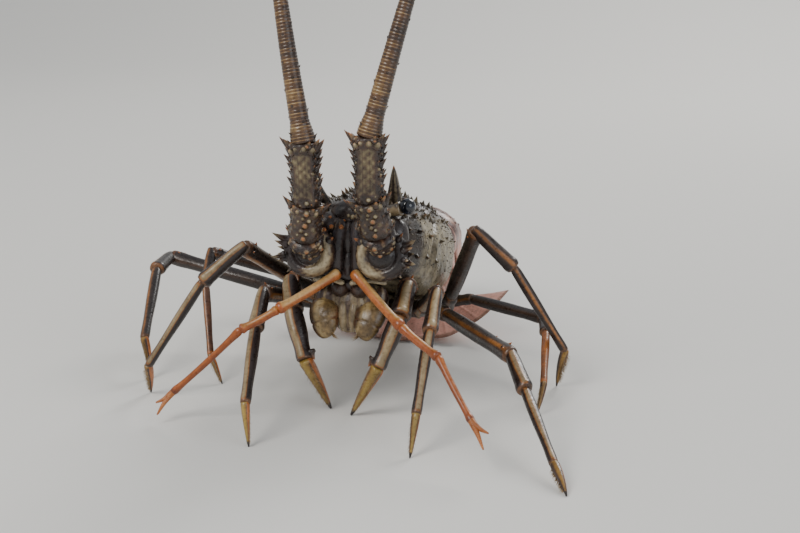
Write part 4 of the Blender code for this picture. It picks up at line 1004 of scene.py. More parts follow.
def add_joint_spines(piece, path, share, size, across, top, last, reach):
    """Spines in rows at set angles round the joint, longer toward its far end, and knobs with pale tops."""
    along = unit(np.gradient(path, axis=0))
    rows = ((8, 1.0), (172, 1.0), (-22, 0.8), (202, 0.8), (-60, 0.6), (240, 0.6), (32, 0.5), (148, 0.5),
            (270, 0.6))
    for number, (degrees, scale) in enumerate(rows):
        count = max(3, int(reach / (3.6 if last else 4.4)))
        spots = np.linspace(0.16, 0.90, count) + 0.03 * math.sin(number * 2.4)
        index = np.clip(np.searchsorted(share, spots), 1, len(share) - 2)
        turn = math.radians(degrees) + 0.09 * np.sin(np.arange(count) * 2.1 + number)
        out = around(across[index], top[index], turn)
        roots = path[index] + out * (size[index] * 0.95)[:, None]
        length = scale * (2.4 + 2.6 * spots ** 2) * (1 + 0.25 * np.sin(np.arange(count) * 3.7 + number))
        piece.spikes(roots, out + along[index] * 0.8, length, 0.26 * length + 0.35, sides=10,
                     lean=along[index] * 0.2, pale=(0.12, 0.65), warm=(0.0, 0.55))
    index = np.searchsorted(share, (0.93, 0.93, 0.95, 0.95))
    out = around(across[index], top[index], np.radians((20, 160, 52, 128)))
    piece.spikes(path[index] + out * size[index][:, None] * 0.9, out * 0.8 + along[index],
                 (4.6, 4.6, 2.6, 2.6), 1.5, sides=12, pale=(0.35, 0.85), warm=(0.1, 0.65))
    index = np.searchsorted(share, (0.87, 0.85, 0.90, 0.90))
    out = around(across[index], top[index], np.radians((40, 138, 75, 112)))
    radii = np.array((1.9, 1.7, 1.5, 1.2))
    piece.spikes(path[index] + out * size[index][:, None] * 0.88, out + along[index] * 0.5, radii * 1.2,
                 radii, blunt=0.6, sides=14, pale=(0.45, 0.9), warm=(0.0, 0.45))


def make_whip(side):
    """The whip in its two lengths: circles along its path, stepped into rings about 1.5 mm long, each of
    its own shade, thickened to a collar at the root."""
    fine = 900
    path = flagellum_path(side, fine)
    travel = np.concatenate([[0], np.cumsum(np.linalg.norm(np.diff(path, axis=0), axis=1))])
    radius = np.interp(travel, (0, 70, travel[-1]), FLAGELLUM_RADII)
    collar = 0.22 * (1 - ease((travel - 3.0) / 8))
    phase = travel / WHIP_RING
    tooth = phase % 1.0
    relief = 0.045 * tooth - 0.05 * hump(tooth, 0.0, 0.13) - 0.05 * hump(tooth, 1.0, 0.13)
    shades = np.random.default_rng(5 if side > 0 else 6).random(400)
    shade = shades[phase.astype(int)]
    patch = hump(travel % 57.0, 24.0, 7.0)
    # Painted highlight: each ring is made paler at its swollen end, where it catches the light
    pale = 0.20 + 0.16 * shade + 0.12 * patch + 0.40 * hump(tooth, 0.9, 0.09) + 0.15 * hump(travel, 6, 3)
    size = radius * (1 + collar + relief)
    cut = int(np.searchsorted(travel, FLAGELLUM_LOWER))
    for name, low, high in (("lower", 0, cut + 1), ("upper", cut, fine)):
        piece = Piece()
        sides = 26 if name == "lower" else 16
        turn = angles(sides)
        span = slice(low, high)
        rings, across, top = sweep(path[span], size[span], size[span], sides, (0, -1, 0.1))
        tint = 0.12 + 0.22 * shades[::-1][phase[span].astype(int)]
        # Painted highlight: one side of the whip made paler by the angle round it
        light = 0.16 * np.cos(turn - 2.4)[None]
        # Painted shade: the dark mark lies in the grooves between the rings
        piece.rings(rings, pale=pale[span][:, None] + light, warm=tint[:, None] + 0 * light,
                    dark=(0.45 * hump(tooth[span], 0.0, 0.1))[:, None])
        if name == "lower":
            along = unit(np.gradient(path, axis=0))
            spots = np.arange(6, cut - 4, 7)
            spin = np.arange(len(spots)) * 2.4
            out = around(across[spots], top[spots], spin)
            length = 0.8 + 1.6 * np.exp(-np.arange(len(spots)) / 6)
            piece.spikes(path[spots] + out * (size[spots] * 0.97)[:, None], out + along[spots] * 0.9,
                         length, 0.3 + 0.16 * length, sides=6, pale=(0.1, 0.5), shares=(0, 0.4, 0.8))
        piece.make(f"antenna_{WORDS[side]}_whip_{name}_shell", FINISHES["whip"],
                   (f"antenna_{WORDS[side]}_whip_{name}",))


def make_antennule(side):
    """A small feeler: three slim joints, each a tube with swollen ends, and two short ringed tips."""
    piece = Piece()
    knots = np.array(ANTENNULES[side])
    places = (0, 0.05, 0.14, 0.5, 0.86, 0.95, 1)
    for index, (first, last) in enumerate(((2.6, 2.3), (2.2, 2.0), (1.9, 1.5))):
        start, end = knots[index], knots[index + 1]
        along = unit(end - start)
        share = crowded(64)
        path = start - along * 0.4 + (end - start + along * 1.0) * share[:, None]
        sag = np.cross(along, unit(np.cross(along, (0, 0, 1))))
        path = path + sag * (0.5 * np.sin(math.pi * share))[:, None]
        taper = np.interp(places, (0, 1), (first, last))
        size = curve_through(places, np.array((0.8, 1.04, 0.92, 0.9, 1, 1.2, 0.9)) * taper, share)
        size = size * domed(share, 0.03, 0.03) + 0.04
        turn = angles(30)
        # Painted highlight: a cream stripe along the top of each joint
        stripe = ease((np.cos(turn - 2.0) - 0.45) / 0.4)
        rings, _, _ = sweep(path, size, size, 30, (0, 0, 1))
        ends = hump(share, 0.96, 0.035)[:, None]
        deep = 0.10 * index
        piece.rings(rings, pale=0.44 - deep + (0.40 - deep) * stripe[None] * (1 - ends) - 0.2 * ends)
    fork = knots[3]
    back = unit(knots[3] - knots[2])
    for tip, curl in zip(np.array(ANTENNULE_TIPS[side]), (-0.6, 0.6)):
        middle = (fork + tip) / 2 + np.array([0, 0, curl])
        path = path_through((fork - back * 2.0, fork + (tip - fork) * 0.1, middle, tip), 110)
        share = np.linspace(0, 1, 110)
        tooth = (share * 16) % 1.0
        size = (1.25 * (1 - share) ** 0.8 + 0.32) * (1 + 0.10 * tooth) * domed(share, 0.02, 0.01)
        rings, _, _ = sweep(path, size + 0.02, size + 0.02, 16, (0, 0, 1))
        piece.rings(rings, pale=(0.32 + 0.3 * tooth)[:, None])
    piece.make(f"antennule_{WORDS[side]}_shell", FINISHES["feeler"],
               (f"antennule_{WORDS[side]}",))


# Legs

def coxa_base(leg, side):
    """Where a leg leaves its root."""
    return mirrored(COXAE[leg], side)


def coxa_root(leg, side):
    """Where a leg's root starts inside the breast plate."""
    x, y, z = COXAE[leg]
    return mirrored((x * 0.3, y + 1.5, z), side)


def bend_chain(knee, toe, lengths, outward, wrist_share):
    """Joints between knee and toe: three lengths bent the same way, a share of the bend at the wrist and
    the rest at the claw, the bend found by halving until the chain just reaches."""
    def chain(bend):
        """The chain laid flat: each length along the cosine and sine of its turn."""
        turns = np.array((0.0, -wrist_share * bend, -bend))
        steps = np.array(lengths)[:, None] * np.stack([np.cos(turns), np.sin(turns)], 1)
        return np.concatenate([[(0, 0)], np.cumsum(steps, axis=0)])
    reach = np.linalg.norm(toe - knee)
    low, high = 0.0, math.radians(170)
    for _ in range(50):
        middle = (low + high) / 2
        if np.linalg.norm(chain(middle)[-1]) > reach:
            low = middle
        else:
            high = middle
    flat = chain(low)
    tilt = math.atan2(flat[-1][1], flat[-1][0])
    along = unit(toe - knee)
    normal = unit(outward - along * (outward @ along))
    run = flat[:, 0] * math.cos(tilt) + flat[:, 1] * math.sin(tilt)
    rise = flat[:, 1] * math.cos(tilt) - flat[:, 0] * math.sin(tilt)
    return knee + along * run[:, None] + normal * rise[:, None]


def leg_joints(leg, side):
    """Base, ischium end, knee, wrist, claw root and toe of one leg."""
    base = coxa_base(leg, side)
    knee = np.array(KNEES[(leg, side)], float)
    toe = np.array((*TOES[(leg, side)], 0.0))
    bow = np.array(BOWS.get((leg, side), knee - base), float)
    lower = bend_chain(knee, toe, LEG_LENGTHS[leg], bow, WRIST_SHARES.get((leg, side), WRIST_SHARE))
    ischium = base + unit(knee - base) * ISCHIUM + np.array([0, 0, ISCHIUM_ARCH[leg]])
    return (base, ischium, *lower)


# Forms of a leg's joints: share of the length, share of the radius
MERUS = ((0, 0.72), (0.05, 0.86), (0.16, 0.97), (0.5, 1.05), (0.84, 1.02), (0.93, 1.10), (0.97, 1.06),
         (1, 0.9))
ISCHIUM_FORM = ((0, 0.9), (0.15, 1.08), (0.6, 1.0), (0.85, 1.06), (1, 0.9))
CARPUS = ((0, 0.70), (0.12, 0.84), (0.5, 0.97), (0.82, 1.06), (0.93, 1.10), (1, 0.85))
PROPODUS = ((0, 0.74), (0.06, 0.95), (0.16, 1.02), (0.4, 1.03), (0.8, 0.86), (0.93, 0.90), (0.97, 0.87),
            (1, 0.75))
DACTYL = ((0, 0.82), (0.06, 0.98), (0.2, 0.97), (0.5, 0.75), (0.75, 0.50), (0.9, 0.31), (1, 0.15))


def article(piece, start, end, radius, form, across, front, strength, overlap=(0.8, 0.8), bow=None,
            tip_dark=0.0, warm_edge=0.0, base_pale=0.0, flat=0.88, sides=44, rows=96, stripe=0.5, tint=0.0):
    """One joint of a limb: ellipses from start to end whose radius is a curve through the form's shares,
    domed at both ends, fluted lengthways; the pale mark is a wide stripe in front and a narrow one behind,
    each the cosine of the angle from its middle."""
    along = unit(end - start)
    share = crowded(rows)
    path = start - along * overlap[0] + (end - start + along * (overlap[0] + overlap[1])) * share[:, None]
    if bow is not None:
        path = path + bow * np.sin(math.pi * share)[:, None]
    form = np.array(form)
    size = radius * curve_through(form[:, 0], form[:, 1], share) * domed(share, 0.03, 0.025) + 0.04
    turn = angles(sides)
    side = unit(np.cross(along, across))
    top = np.cross(side, along)
    facing = math.atan2(front @ top, front @ side)
    swing = turn[None] + 0.10 * np.sin(share * 5.0)[:, None]
    broad = 0.5 + 2.4 * (np.cos(swing - facing) - math.cos(stripe))
    behind = 0.5 + 2.4 * (np.cos(swing - facing - math.pi) - math.cos(0.34))
    below = 0.44 + 2.4 * (np.cos(swing - facing + 1.9) - math.cos(0.16))
    stripes = np.clip(np.maximum(np.maximum(broad, behind), below), 0, 1)
    fade = (ease((share - 0.02) / 0.07) * ease((0.98 - share) / 0.06))[:, None]
    flute = 0.022 * np.cos(2 * (swing - facing) * 2.5) * fade
    ring_edge = hump(share, 0.965, 0.018)[:, None]
    rings, _, _ = sweep(path, size, size * flat, sides, across, swell=1 + flute)
    pale = base_pale + strength * stripes * fade + 0.44 * (1 - fade)
    warm = tint + 0.42 * ring_edge + warm_edge * ease((np.cos(swing - facing - 1.75) - 0.55) / 0.3)
    dark = tip_dark * ease((share - 0.80) / 0.17)[:, None]
    piece.rings(rings, pale=pale, warm=warm, dark=dark + 0 * pale)
    return path, size, along


# Strength and half angle, in radians, of the pale stripe in front, and the rust tint of the last pair
STRIPE_STRENGTH = {1: 1.0, 2: 1.0, 3: 0.95, 4: 0.72, 5: 0.75}
STRIPE_HALF_ANGLES = {(1, 1): 0.56, (1, -1): 0.50, (2, 1): 0.58, (2, -1): 0.52, (3, 1): 0.42, (3, -1): 0.54}
PLAIN_HALF_ANGLE = 0.42
RUST_TINTS = {(5, 1): 0.52, (5, -1): 0.40}


def make_leg(leg, side):
    """The three nodes of one leg: ischium and merus, carpus and propodus, and the claw. Returns what the
    bristles need: the claw's ends, two directions and its radius."""
    base, ischium, knee, wrist, claw_root, toe = leg_joints(leg, side)
    merus_r, carpus_r, propodus_r, dactyl_r = LEG_RADII[leg]
    across = unit(np.cross(knee - base, toe - knee))
    outside = np.cross(across, unit(knee - ischium))
    outside = outside * np.sign(outside @ (knee - (base + toe) / 2))
    front = unit(np.array((0.25 * side, -1.0, 0.35)))
    strength = STRIPE_STRENGTH[leg]
    stripe = STRIPE_HALF_ANGLES.get((leg, side), PLAIN_HALF_ANGLE)
    tint = RUST_TINTS.get((leg, side), 0.0)
    name = f"leg_{WORDS[side]}_{leg}"

    piece = Piece()
    article(piece, base, ischium, merus_r, ISCHIUM_FORM, across, front, strength * 0.8, overlap=(0.3, 1.0),
            rows=40)
    article(piece, ischium, knee, merus_r, MERUS, across, front, strength * 0.85, overlap=(1.5, 0.6),
            stripe=stripe * 0.8)
    along = unit(knee - ischium)
    long_way = np.linalg.norm(knee - ischium)
    spots = np.array((0.90, 0.72, 0.55, 0.38))
    roots = ischium + (knee - ischium) * spots[:, None] + outside * merus_r * 0.86
    piece.spikes(roots, along * 0.85 + outside, np.array((3.6, 2.0, 1.6, 1.3)) * merus_r / 4.6,
                 np.array((1.2, 0.8, 0.7, 0.6)) * merus_r / 4.6, sides=10, pale=(0.1, 0.6), warm=(0.2, 0.9))
    edge = ischium + along * (long_way * 0.93)
    for way in (across, -across):
        piece.spikes(edge + way * merus_r * 0.8 + outside * merus_r * 0.35, along + way * 0.6, 2.0, 0.9,
                     sides=10, pale=(0.1, 0.6), warm=(0.2, 0.9))
    piece.make(f"{name}_upper_shell", FINISHES["leg"], (f"{name}_upper",))

    piece = Piece()
    article(piece, knee, wrist, carpus_r, CARPUS, across, front, strength, overlap=(2.4, 0.5), rows=72,
            stripe=stripe)
    article(piece, wrist, claw_root, propodus_r, PROPODUS, across, front, strength, overlap=(1.4, 0.4),
            stripe=stripe, tint=tint)
    forward = unit(wrist - knee)
    piece.spikes(wrist - forward * 1.6 + outside * carpus_r * 0.8, forward + outside * 0.5, 2.2, 0.9,
                 sides=10, pale=(0.2, 0.7), warm=(0.2, 0.9))
    if leg == 1:
        down = unit(claw_root - wrist)
        inward = unit(np.array((-side * 1.0, 0.0, 0.0)) - down * (-side * down[0]))
        piece.spikes(claw_root - down * 2.4 + inward * propodus_r * 0.75, down + inward * 0.25, 3.8, 1.9,
                     sides=14, pale=(0.3, 0.5), warm=(0.25, 0.6))
    piece.make(f"{name}_lower_shell", FINISHES["leg"], (f"{name}_lower",))

    piece = Piece()
    bow = outside * 0.035 * np.linalg.norm(toe - claw_root)
    article(piece, claw_root, toe, dactyl_r, DACTYL, across, front, 0.55, overlap=(1.2, 0.0), bow=bow,
            tip_dark=1.0, warm_edge=0.9, base_pale=0.35 if leg < 3 else 0.12, flat=0.9)
    for points in piece.points:
        points[:, 2] = np.maximum(points[:, 2], 0.0)
    piece.make(f"{name}_claw_shell", FINISHES["claw"], (f"{name}_claw",))
    return claw_root, toe, across, outside, dactyl_r


def make_bristles(legs):
    """Straw-coloured bristles in three rows along the underside of each claw, and a fringe on the jaw feet.
    The bake map puts each bristle in a small patch at its root's share along and place across its limb."""
    piece = Piece()
    patches = []
    scatter = np.random.default_rng(23)
    for number, (claw_root, toe, across, outside, dactyl_r) in enumerate(legs):
        reach = toe - claw_root
        claw_way = unit(reach)
        count = 46
        for row, way in enumerate((0.75, 0.0, -0.75)):
            share = np.linspace(0.06, 0.84, count) + 0.01 * scatter.standard_normal(count)
            out = unit(-outside + across * way + 0.12 * scatter.standard_normal((count, 3)))
            size = dactyl_r * np.interp(share, (0, 0.2, 0.5, 0.8, 1), (0.9, 0.92, 0.72, 0.42, 0.2))
            roots = claw_root + reach * share[:, None] + out * (size * 0.85)[:, None]
            roots[:, 2] = np.maximum(roots[:, 2], 1.8)
            length = (2.1 + 0.8 * scatter.random(count)) * (1 - 0.35 * share)
            aims = unit(out + claw_way * 0.7)
            aims[:, 2] = np.maximum(aims[:, 2], -0.45)
            each = piece.spikes(roots, aims, length, 0.11, sides=3, shares=(0, 0.5), pale=(0.2, 0.9))
            patches.append(bristle_patch(number / 12 + row / 36, share, each))
    for side in SIDES:
        knots = jaw_foot_knots(side)
        path = path_through(knots, 120)
        along = unit(np.gradient(path, axis=0))
        for row, way in enumerate(((-side, -0.4, -0.5), (-side, -0.9, 0.1))):
            index = np.arange(14, 98, 2)
            stray = 0.15 * scatter.standard_normal((len(index), 3))
            aims = unit(np.array(way) + along[index] * 0.4 + stray)
            length = 2.6 + 1.2 * scatter.random(len(index))
            each = piece.spikes(path[index] + aims * 2.4, aims, length, 0.13, sides=3, shares=(0, 0.5),
                                pale=(0.2, 0.9))
            patches.append(bristle_patch(10.5 / 12 + (side + 1) / 30 + row / 60, index / 120, each))
    uv = np.concatenate(patches)
    piece.make("claw_and_jaw_bristles", FINISHES["bristle"], uv=uv)


def bristle_patch(across, share, each):
    """Bake coordinates: a patch 0.003 wide at (across, share) for the points of each bristle."""
    corner = np.stack([np.full(len(share), across + 0.01), np.clip(share, 0, 1) * 0.98 + 0.005], 1)
    spin = TAU * np.arange(each) / each
    spot = 0.0015 * np.stack([np.cos(spin), np.sin(spin)], 1)
    return (corner[:, None] + spot[None]).reshape(-1, 2)


# Jaw feet and breast

def jaw_foot_knots(side):
    """A jaw foot's joints, from its root beside the mouth down and inward to its tip."""
    return mirrored(((10.0, 2, -54.8), (11.5, -6, -57.6), (8.6, -10, -66.6), (3.8, -8, -72.0)), side)


def make_jaw_foot(side):
    """A third jaw foot: broad ovals along a curve, in three joints marked by narrow creases."""
    piece = Piece()
    path = path_through(jaw_foot_knots(side), 132)[:110]
    share = np.linspace(0, 1, 110)
    crease = hump(share, 0.30, 0.02) + hump(share, 0.66, 0.02)
    body = curve_through((0, 0.15, 0.35, 0.65, 0.9, 1), (3.6, 4.6, 4.9, 4.4, 3.2, 2.0), share)
    size = body * domed(share, 0.08, 0.08) * (1 - 0.07 * crease) + 0.05
    turn = angles(40)
    stripe = np.clip(np.cos(turn * 4 + 0.6 + 2.0 * share[:, None]), 0, 1) * (1 - crease)[:, None]
    rings, across, _ = sweep(path, size * 1.52, size * 1.0, 40, (0, -1, 0.3), power=2.0,
                               swell=1 + 0.03 * np.cos(3 * turn)[None])
    border = hump(np.abs(np.cos(turn)), 1.0, 0.25)[None] + 0 * stripe
    outer = np.clip(-side * across[:, :1] * np.cos(turn)[None], 0, 1)
    piece.rings(rings, pale=0.44 + 0.30 * stripe - 0.3 * border,
                warm=(0.30 * crease)[:, None] + 0.36 * border + 0.30 * outer)
    name = f"jaw_foot_{WORDS[side]}"
    piece.make(f"{name}_shell", FINISHES["mouth"], (name,))


def make_breast():
    """The breast plate, ridged between the legs, and the ten leg roots with their rims."""
    piece = Piece()
    rows = np.array(((26, 6.5, -56), (30, 7.5, -58), (42, 10.5, -64), (50, 12.5, -66), (56, 14.0, -67),
                     (62, 15.5, -67.5), (74, 17.5, -68), (88, 19.0, -68.5), (102, 20.0, -67),
                     (112, 16.0, -63)))
    y = np.linspace(26, 112, 120)
    wide, bottom = np.moveaxis(curve_through(rows[:, 0], rows[:, 1:], y), -1, 0)
    top = curve_through(CARAPACE_STATIONS[:, 0], CARAPACE_STATIONS[:, 4], y) - 0.2
    share = np.linspace(0, 1, 120)
    closing = domed(share, 0.05, 0.05)
    turn = angles(60)
    ridge = 0.9 * np.clip(np.cos(y * TAU / 14.5), 0, 1)[:, None] * (np.sin(turn) < 0)[None]
    x = (wide * closing + 0.05)[:, None] * wave_power(np.cos(turn), 3.4)
    z = ((top + bottom) / 2)[:, None] + (((top - bottom) / 2 * closing + 0.05)[:, None]
                                         * wave_power(np.sin(turn), 3.4)) - ridge * np.abs(np.sin(turn))
    piece.rings(in_world(stacked(x, y[:, None], z)),
                pale=0.45 + 0.35 * np.clip(np.cos(y * TAU / 14.5), 0, 1)[:, None])
    for leg in COXAE:
        radius = LEG_RADII[leg][0] * 1.08
        for side in SIDES:
            start, end = coxa_root(leg, side), coxa_base(leg, side)
            along = unit(end - start)
            stretch = crowded(56)
            path = start + (end - start + along * 0.8) * stretch[:, None]
            size = radius * curve_through((0, 0.45, 0.8, 0.93, 1), (0.8, 1.0, 1.0, 1.08, 0.95), stretch)
            size = size * domed(stretch, 0.1, 0.05) + 0.05
            fluting = 1 + 0.03 * np.cos(5 * angles(36))[None]
            rings, _, _ = sweep(path, size, size, 36, (0, 0, 1), swell=fluting)
            rim = hump(stretch, 0.93, 0.05)
            piece.rings(rings, pale=(0.25 + 0.4 * rim)[:, None], warm=(0.45 * rim)[:, None])
    piece.make("breast_plate", FINISHES["breast"], ("sternum",))


# Tail

def angle_way(degrees):
    """The direction at an angle up from straight back."""
    turn = math.radians(degrees)
    return np.array([0, math.cos(turn), math.sin(turn)])


def tail_hinges():
    """The points between the tail's rings: each length laid on at its angle."""
    points = [np.array([0.0, *TAIL_START])]
    for length, degrees in zip(TAIL_LENGTHS, TAIL_ANGLES):
        points.append(points[-1] + length * angle_way(degrees))
    return points


def make_tail_segment(index):
    """One ring of the tail: a round back over a shallow belly, carried from hinge to hinge on planes that
    turn with the bend; its front part slides under the one before, then come a groove, a raised band and
    a lip."""
    hinges = tail_hinges()
    ways = [angle_way(-10)] + [angle_way(a) for a in TAIL_ANGLES] + [angle_way(FAN_ANGLE)]
    start, end = hinges[index], hinges[index + 1]
    start_normal = unit(ways[index] + (ways[index + 1] if index else ways[0]))
    end_normal = unit(ways[index + 1] + ways[index + 2])
    rows, sides = 84, 132
    share = np.linspace(-0.02, 1.05 if index < 5 else 1.0, rows)
    turn = angles(sides)
    place = np.clip(share, 0, 1)
    wide = np.interp(place, (0, 1), TAIL_HALF_WIDTHS[index:index + 2])
    above = np.interp(place, (0, 1), TAIL_ABOVE[index:index + 2])
    below = np.interp(place, (0, 1), TAIL_BELOW[index:index + 2])
    tucked = 0.935 + 0.05 * ease((share - 0.22) / 0.08) + 0.045 * ease((share - 0.4) / 0.25)
    tucked = tucked - 0.03 * hump(share, 0.33, 0.045) - 0.05 * ease((share - 0.97) / 0.08)
    closing = domed((share - share[0]) / (share[-1] - share[0]), 0.05, 0.03)
    back = np.clip(np.sin(turn), 0, 1)
    swell = tucked[:, None] * back[None] + (1 - back)[None] * 0.985
    fine = 0.006 * np.sin(turn * 31)[None] * ease((share - 0.45) / 0.2)[:, None] * back[None]
    keel = 0.02 * hump(np.degrees(turn), 90, 7)[None] * ease((share - 0.4) / 0.2)[:, None]
    swell = (swell + fine + keel) * (0.25 + 0.75 * closing[:, None])
    normals = unit(start_normal * (1 - share)[:, None] + end_normal * share[:, None])
    ups = np.cross(LEFTWARD, normals)
    x = wide[:, None] * wave_power(np.cos(turn), 2.2) * swell
    high = np.where(np.sin(turn) >= 0, above[:, None] * wave_power(np.sin(turn), 2.2),
                    below[:, None] * wave_power(np.sin(turn), 3.2)) * swell
    centre = start + (end - start) * share[:, None]
    rings = centre[:, None] + x[..., None] * LEFTWARD + high[..., None] * ups[:, None]
    off = np.abs(np.degrees(turn) - 90)
    off = np.minimum(off, 360 - off)
    spot = hump(off, 52, 9)[None] * hump(share, 0.62, 0.15)[:, None]
    band = hump(share, 0.92, 0.06)[:, None]
    belly = (np.sin(turn) < -0.1)[None]
    # Painted shade: the shell is made darker along the groove near the front of the ring
    pale = 0.28 + 0.62 * spot + 0.30 * band + 0.34 * belly - 0.16 * hump(share, 0.33, 0.06)[:, None]
    # The orange on the sides carries the tail finish's own pink together with its painted glow
    warm = 0.42 * ease((off - 58) / 25)[None] + 0.15 * band
    piece = Piece()
    piece.rings(rings, pale=pale, warm=warm)
    normal = unit(start_normal + end_normal)
    add_tail_edges(piece, index, (start + end) / 2, normal, centre, ups, wide, above)
    piece.make(f"tail_{index + 1}_shell", FINISHES["tail"], (f"tail_{index + 1}",))


def add_tail_edges(piece, index, middle, normal, centre, ups, wide, above):
    """Side points, swimmerets and a row of small spines along the hind edge of one tail ring."""
    up = np.cross(LEFTWARD, normal)
    mean = (TAIL_HALF_WIDTHS[index] + TAIL_HALF_WIDTHS[index + 1]) / 2
    for side in SIDES:
        if index < 5:
            length = TAIL_POINTS[index]
            root = middle + np.array([side * mean * 0.90, 0, 0]) + up * 3.0
            way = unit(-up + np.array([side * 0.16, 0, 0]))
            share = np.linspace(0, 1, 44)
            path = root + way * ((length + 6.0) * share)[:, None] + normal * (3.2 * share ** 2)[:, None]
            span = curve_through((0, 0.3, 0.6, 0.85, 1), (5.4, 5.0, 3.7, 1.7, 0.35), share)
            thick = curve_through((0, 0.3, 0.6, 1), (2.2, 1.9, 1.3, 0.3), share)
            span = span * min(1.0, TAIL_LENGTHS[index] / 13.0) * (0.8 if index > 2 else 1.0)
            rings, _, _ = sweep(path, thick, span, 28, normal)
            # Side points in the tail's orange: their own pink together with the painted glow
            piece.rings(rings, pale=(0.35 + 0.4 * hump(share, 1, 0.25))[:, None],
                        warm=(0.45 + 0.3 * share)[:, None])
            piece.spikes(path[20] + normal * span[20] * 0.9, normal + way * 0.8, 2.4, 0.9, pale=0.5,
                         warm=0.6)
        if index in SWIMMERETS:
            root = middle + np.array([side * mean * 0.42, 0, 0]) - up * (TAIL_BELOW[index] - 3.5)
            tip = root - up * (3.5 + SWIMMERETS[index]) + np.array([side * 2.0, 0, 0])
            share = np.linspace(0, 1, 36)
            path = root + (tip - root) * share[:, None]
            span = curve_through((0, 0.25, 0.55, 0.85, 1), (2.0, 2.4, 4.0, 3.0, 0.6), share)
            rings, _, _ = sweep(path, span, 0.45 + 0.45 * (1 - share), 26, normal)
            piece.rings(rings, pale=0.55, warm=0.35)
    row = 62
    spread = np.radians(np.arange(-62, 63, 12.4)) + math.pi / 2
    x = wide[row] * 1.01 * wave_power(np.cos(spread), 2.2)
    high = above[row] * 1.01 * wave_power(np.sin(spread), 2.2)
    roots = centre[row] + x[:, None] * LEFTWARD + high[:, None] * ups[row]
    outward = unit(around(LEFTWARD, ups[row], spread))
    piece.spikes(roots - outward * 0.2, outward * 0.35 + normal, 1.1, 0.6, sides=8, blunt=0.4,
                 pale=(0.3, 0.8))


def fan_line(index, side, inset):
    """A side line of the fan: sideways place, run and rise as functions of the share of its length."""
    root_x, degrees, rise = FAN_LINES[index]
    turn = math.radians(degrees)
    return lambda share: (side * (root_x + inset + FAN_LENGTH * share * math.sin(turn)),
                          0.27 + FAN_LENGTH * share * math.cos(turn), rise * share ** 1.4)


def make_fan_lobe(name, low_line, high_line, middle):
    """A lobe of the fan: between two side lines, rounded at the rim, its two faces half a thickness apart,
    raised along two main rays and finely ribbed toward the rim."""
    hinge = tail_hinges()[-1]
    along = angle_way(FAN_ANGLE)
    up = np.cross(LEFTWARD, along)
    rows, columns = 72, 56
    share = np.linspace(0, 1, rows)[:, None]
    part = (1 - np.cos(np.linspace(0, math.pi, columns)))[None] / 2
    low = stacked(*low_line(share))
    high = stacked(*high_line(share))
    line = low + (high - low) * part[..., None]
    run = line[..., 1] + 5.5 * (1 - (2 * part - 1) ** 2) * share ** 3
    sheet = hinge + line[..., 0, None] * LEFTWARD + run[..., None] * along - line[..., 2, None] * up
    edge = (1 - np.abs(2 * part - 1) ** 8) ** 0.5 * domed(share, 0.02, 0.03)
    ray = hump(part, 0.25, 0.035) + hump(part, 0.75, 0.035) + 0.7 * hump(part, 0.5, 0.03)
    ribs = 0.5 + 0.5 * np.cos(part * TAU * 17)
    half = (FAN_THICKNESS / 2 * (1 - 0.35 * share) + 0.45 * ray * (1 - 0.5 * share)
            + 0.14 * ribs * ease((share - 0.45) / 0.2)) * edge + 0.03
    front = sheet + half[..., None] * up
    back = sheet - half[..., None] * up
    rings = np.concatenate([front, back[:, ::-1]], 1)
    hard = 1 - ease((share - 0.40) / 0.12)
    pale = 0.30 + 0.22 * ribs * (1 - hard) + 0.25 * ray * hard + 0.35 * hump(share, 0.45, 0.04)
    # The outer part of the lobe takes the tail's salmon: its own pink together with the painted glow of
    # light shining through
    warm = 0.62 * ease((share - 0.42) / 0.15) * (1 - ease((share - 0.93) / 0.05)) + 0.2 + 0 * part
    marks = {"pale": pale + 0.3 * hump(share, 0.97, 0.03), "warm": warm}
    both = {key: np.concatenate([value, value[:, ::-1]], 1) for key, value in marks.items()}
    piece = Piece()
    piece.rings(rings, **both)
    spots = np.array((8, 14, 20, 26))
    for column in ((14, 41) if middle else (41,)):
        piece.spikes(front[spots, column] - up * 0.1, up + along * 1.1, 1.5, 0.55, sides=8, pale=(0.3, 0.8))
    piece.make(f"{name}_lobe", FINISHES["tail"], (name,))


def make_fan():
    """The five lobes of the tail fan, set side by side along their shared lines."""
    make_fan_lobe("tail_fan_middle", fan_line(1, -1, -0.3), fan_line(1, 1, -0.3), True)
    for side in SIDES:
        word = WORDS[side]
        make_fan_lobe(f"tail_fan_{word}_inner", fan_line(1, side, 0.3), fan_line(2, side, -0.3), False)
        make_fan_lobe(f"tail_fan_{word}_outer", fan_line(2, side, 0.3), fan_line(3, side, -0.3), False)


# Stage, lights and camera

FLOOR_REACH = 2.4
FLOOR_ROWS = 60
FLOOR_COLUMNS = 12
# Name, place, aim, width, power and colour of each light, in metres and watts
LIGHTS = (
    ("key", (-0.7, -1.0, 1.3), (0, 0, 0.08), 0.9, 17.0, (1.0, 0.97, 0.92)),
    ("fill", (1.2, -0.8, 0.7), (0, 0, 0.08), 1.0, 6.0, (0.92, 0.96, 1.0)),
    ("rim", (0.5, 1.3, 1.1), (0, 0, 0.1), 0.8, 16.0, (1.0, 0.98, 0.95)),
)
SKY = colour(0.86, 0.89, 0.92)
SKY_STRENGTH = 0.55
CAMERA_SPOT = np.array((166.99, -682.81, 254.8))
CAMERA_AZIMUTH = math.radians(12)
CAMERA_DOWN = math.radians(15)
CAMERA_LENS = 67.5


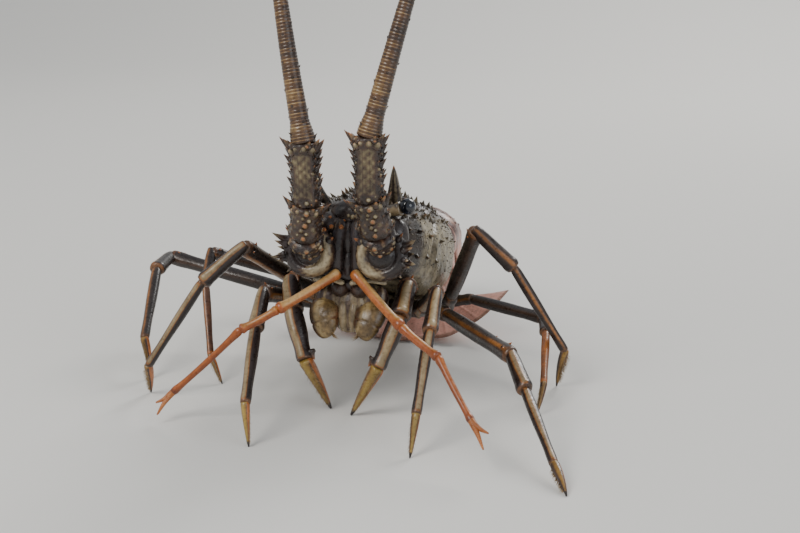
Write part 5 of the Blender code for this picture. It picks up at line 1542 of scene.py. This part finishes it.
def make_stage():
    """A pale floor, flat and then rising with the square of the distance behind into a backdrop."""
    run = np.linspace(-FLOOR_REACH, FLOOR_REACH, FLOOR_ROWS)
    rise = 0.9 * np.clip((run - 1.1) / 1.3, 0, 1) ** 2
    x = np.linspace(-FLOOR_REACH, FLOOR_REACH, FLOOR_COLUMNS)
    points = stacked(x[None], run[:, None], rise[:, None]).reshape(-1, 3)
    corner = np.arange(FLOOR_ROWS - 1)[:, None] * FLOOR_COLUMNS + np.arange(FLOOR_COLUMNS - 1)[None]
    quads = np.stack([corner, corner + 1, corner + FLOOR_COLUMNS + 1, corner + FLOOR_COLUMNS], -1)
    mesh = bpy.data.meshes.new("pale_floor")
    mesh.from_pydata(points.tolist(), [], quads.reshape(-1, 4).tolist())
    mesh.shade_smooth()
    finish, _, shader = new_finish("pale floor")
    shader.inputs["Base Color"].default_value = colour(0.72, 0.71, 0.68)
    shader.inputs["Roughness"].default_value = 0.9
    mesh.materials.append(finish)
    new_item("pale_floor", mesh)


def make_lights():
    """A broad key from the upper left in front, a softer fill, a light from behind for the edges, and an
    even pale sky."""
    for name, spot, aim, size, power, tint in LIGHTS:
        light = bpy.data.lights.new(name, 'AREA')
        light.shape = 'DISK'
        light.size = size
        light.energy = power
        light.color = tint
        item = new_item(name, light)
        item.location = spot
        item.rotation_mode = 'QUATERNION'
        item.rotation_quaternion = (Vector(aim) - Vector(spot)).to_track_quat('-Z', 'Y')
    world = bpy.data.worlds.new("studio")
    bpy.context.scene.world = world
    world.use_nodes = True
    backdrop = world.node_tree.nodes["Background"]
    backdrop.inputs[0].default_value = SKY
    backdrop.inputs[1].default_value = SKY_STRENGTH


def make_camera():
    """The photo's view: from a little to the lobster's left, 15 degrees down."""
    camera = bpy.data.cameras.new("view")
    camera.lens = CAMERA_LENS
    camera.sensor_width = 36.0
    camera.clip_end = 20
    item = new_item("view", camera)
    item.location = (CAMERA_SPOT + PLACE) * MM
    item.rotation_euler = (math.pi / 2 - CAMERA_DOWN, 0, CAMERA_AZIMUTH)
    bpy.context.scene.camera = item


make_carapace()
make_breast()
make_face()
for tail_index in range(6):
    make_tail_segment(tail_index)
make_fan()
leg_facts = []
for flank in SIDES:
    make_eye(flank)
    for joint, joint_name in ((1, "middle"), (2, "last")):
        make_antenna_joint(flank, joint, joint_name)
    make_whip(flank)
    make_antennule(flank)
    make_jaw_foot(flank)
    for leg_number in LEG_RADII:
        leg_facts.append(make_leg(leg_number, flank))
make_bristles(leg_facts)
make_stage()
make_lights()
make_camera()
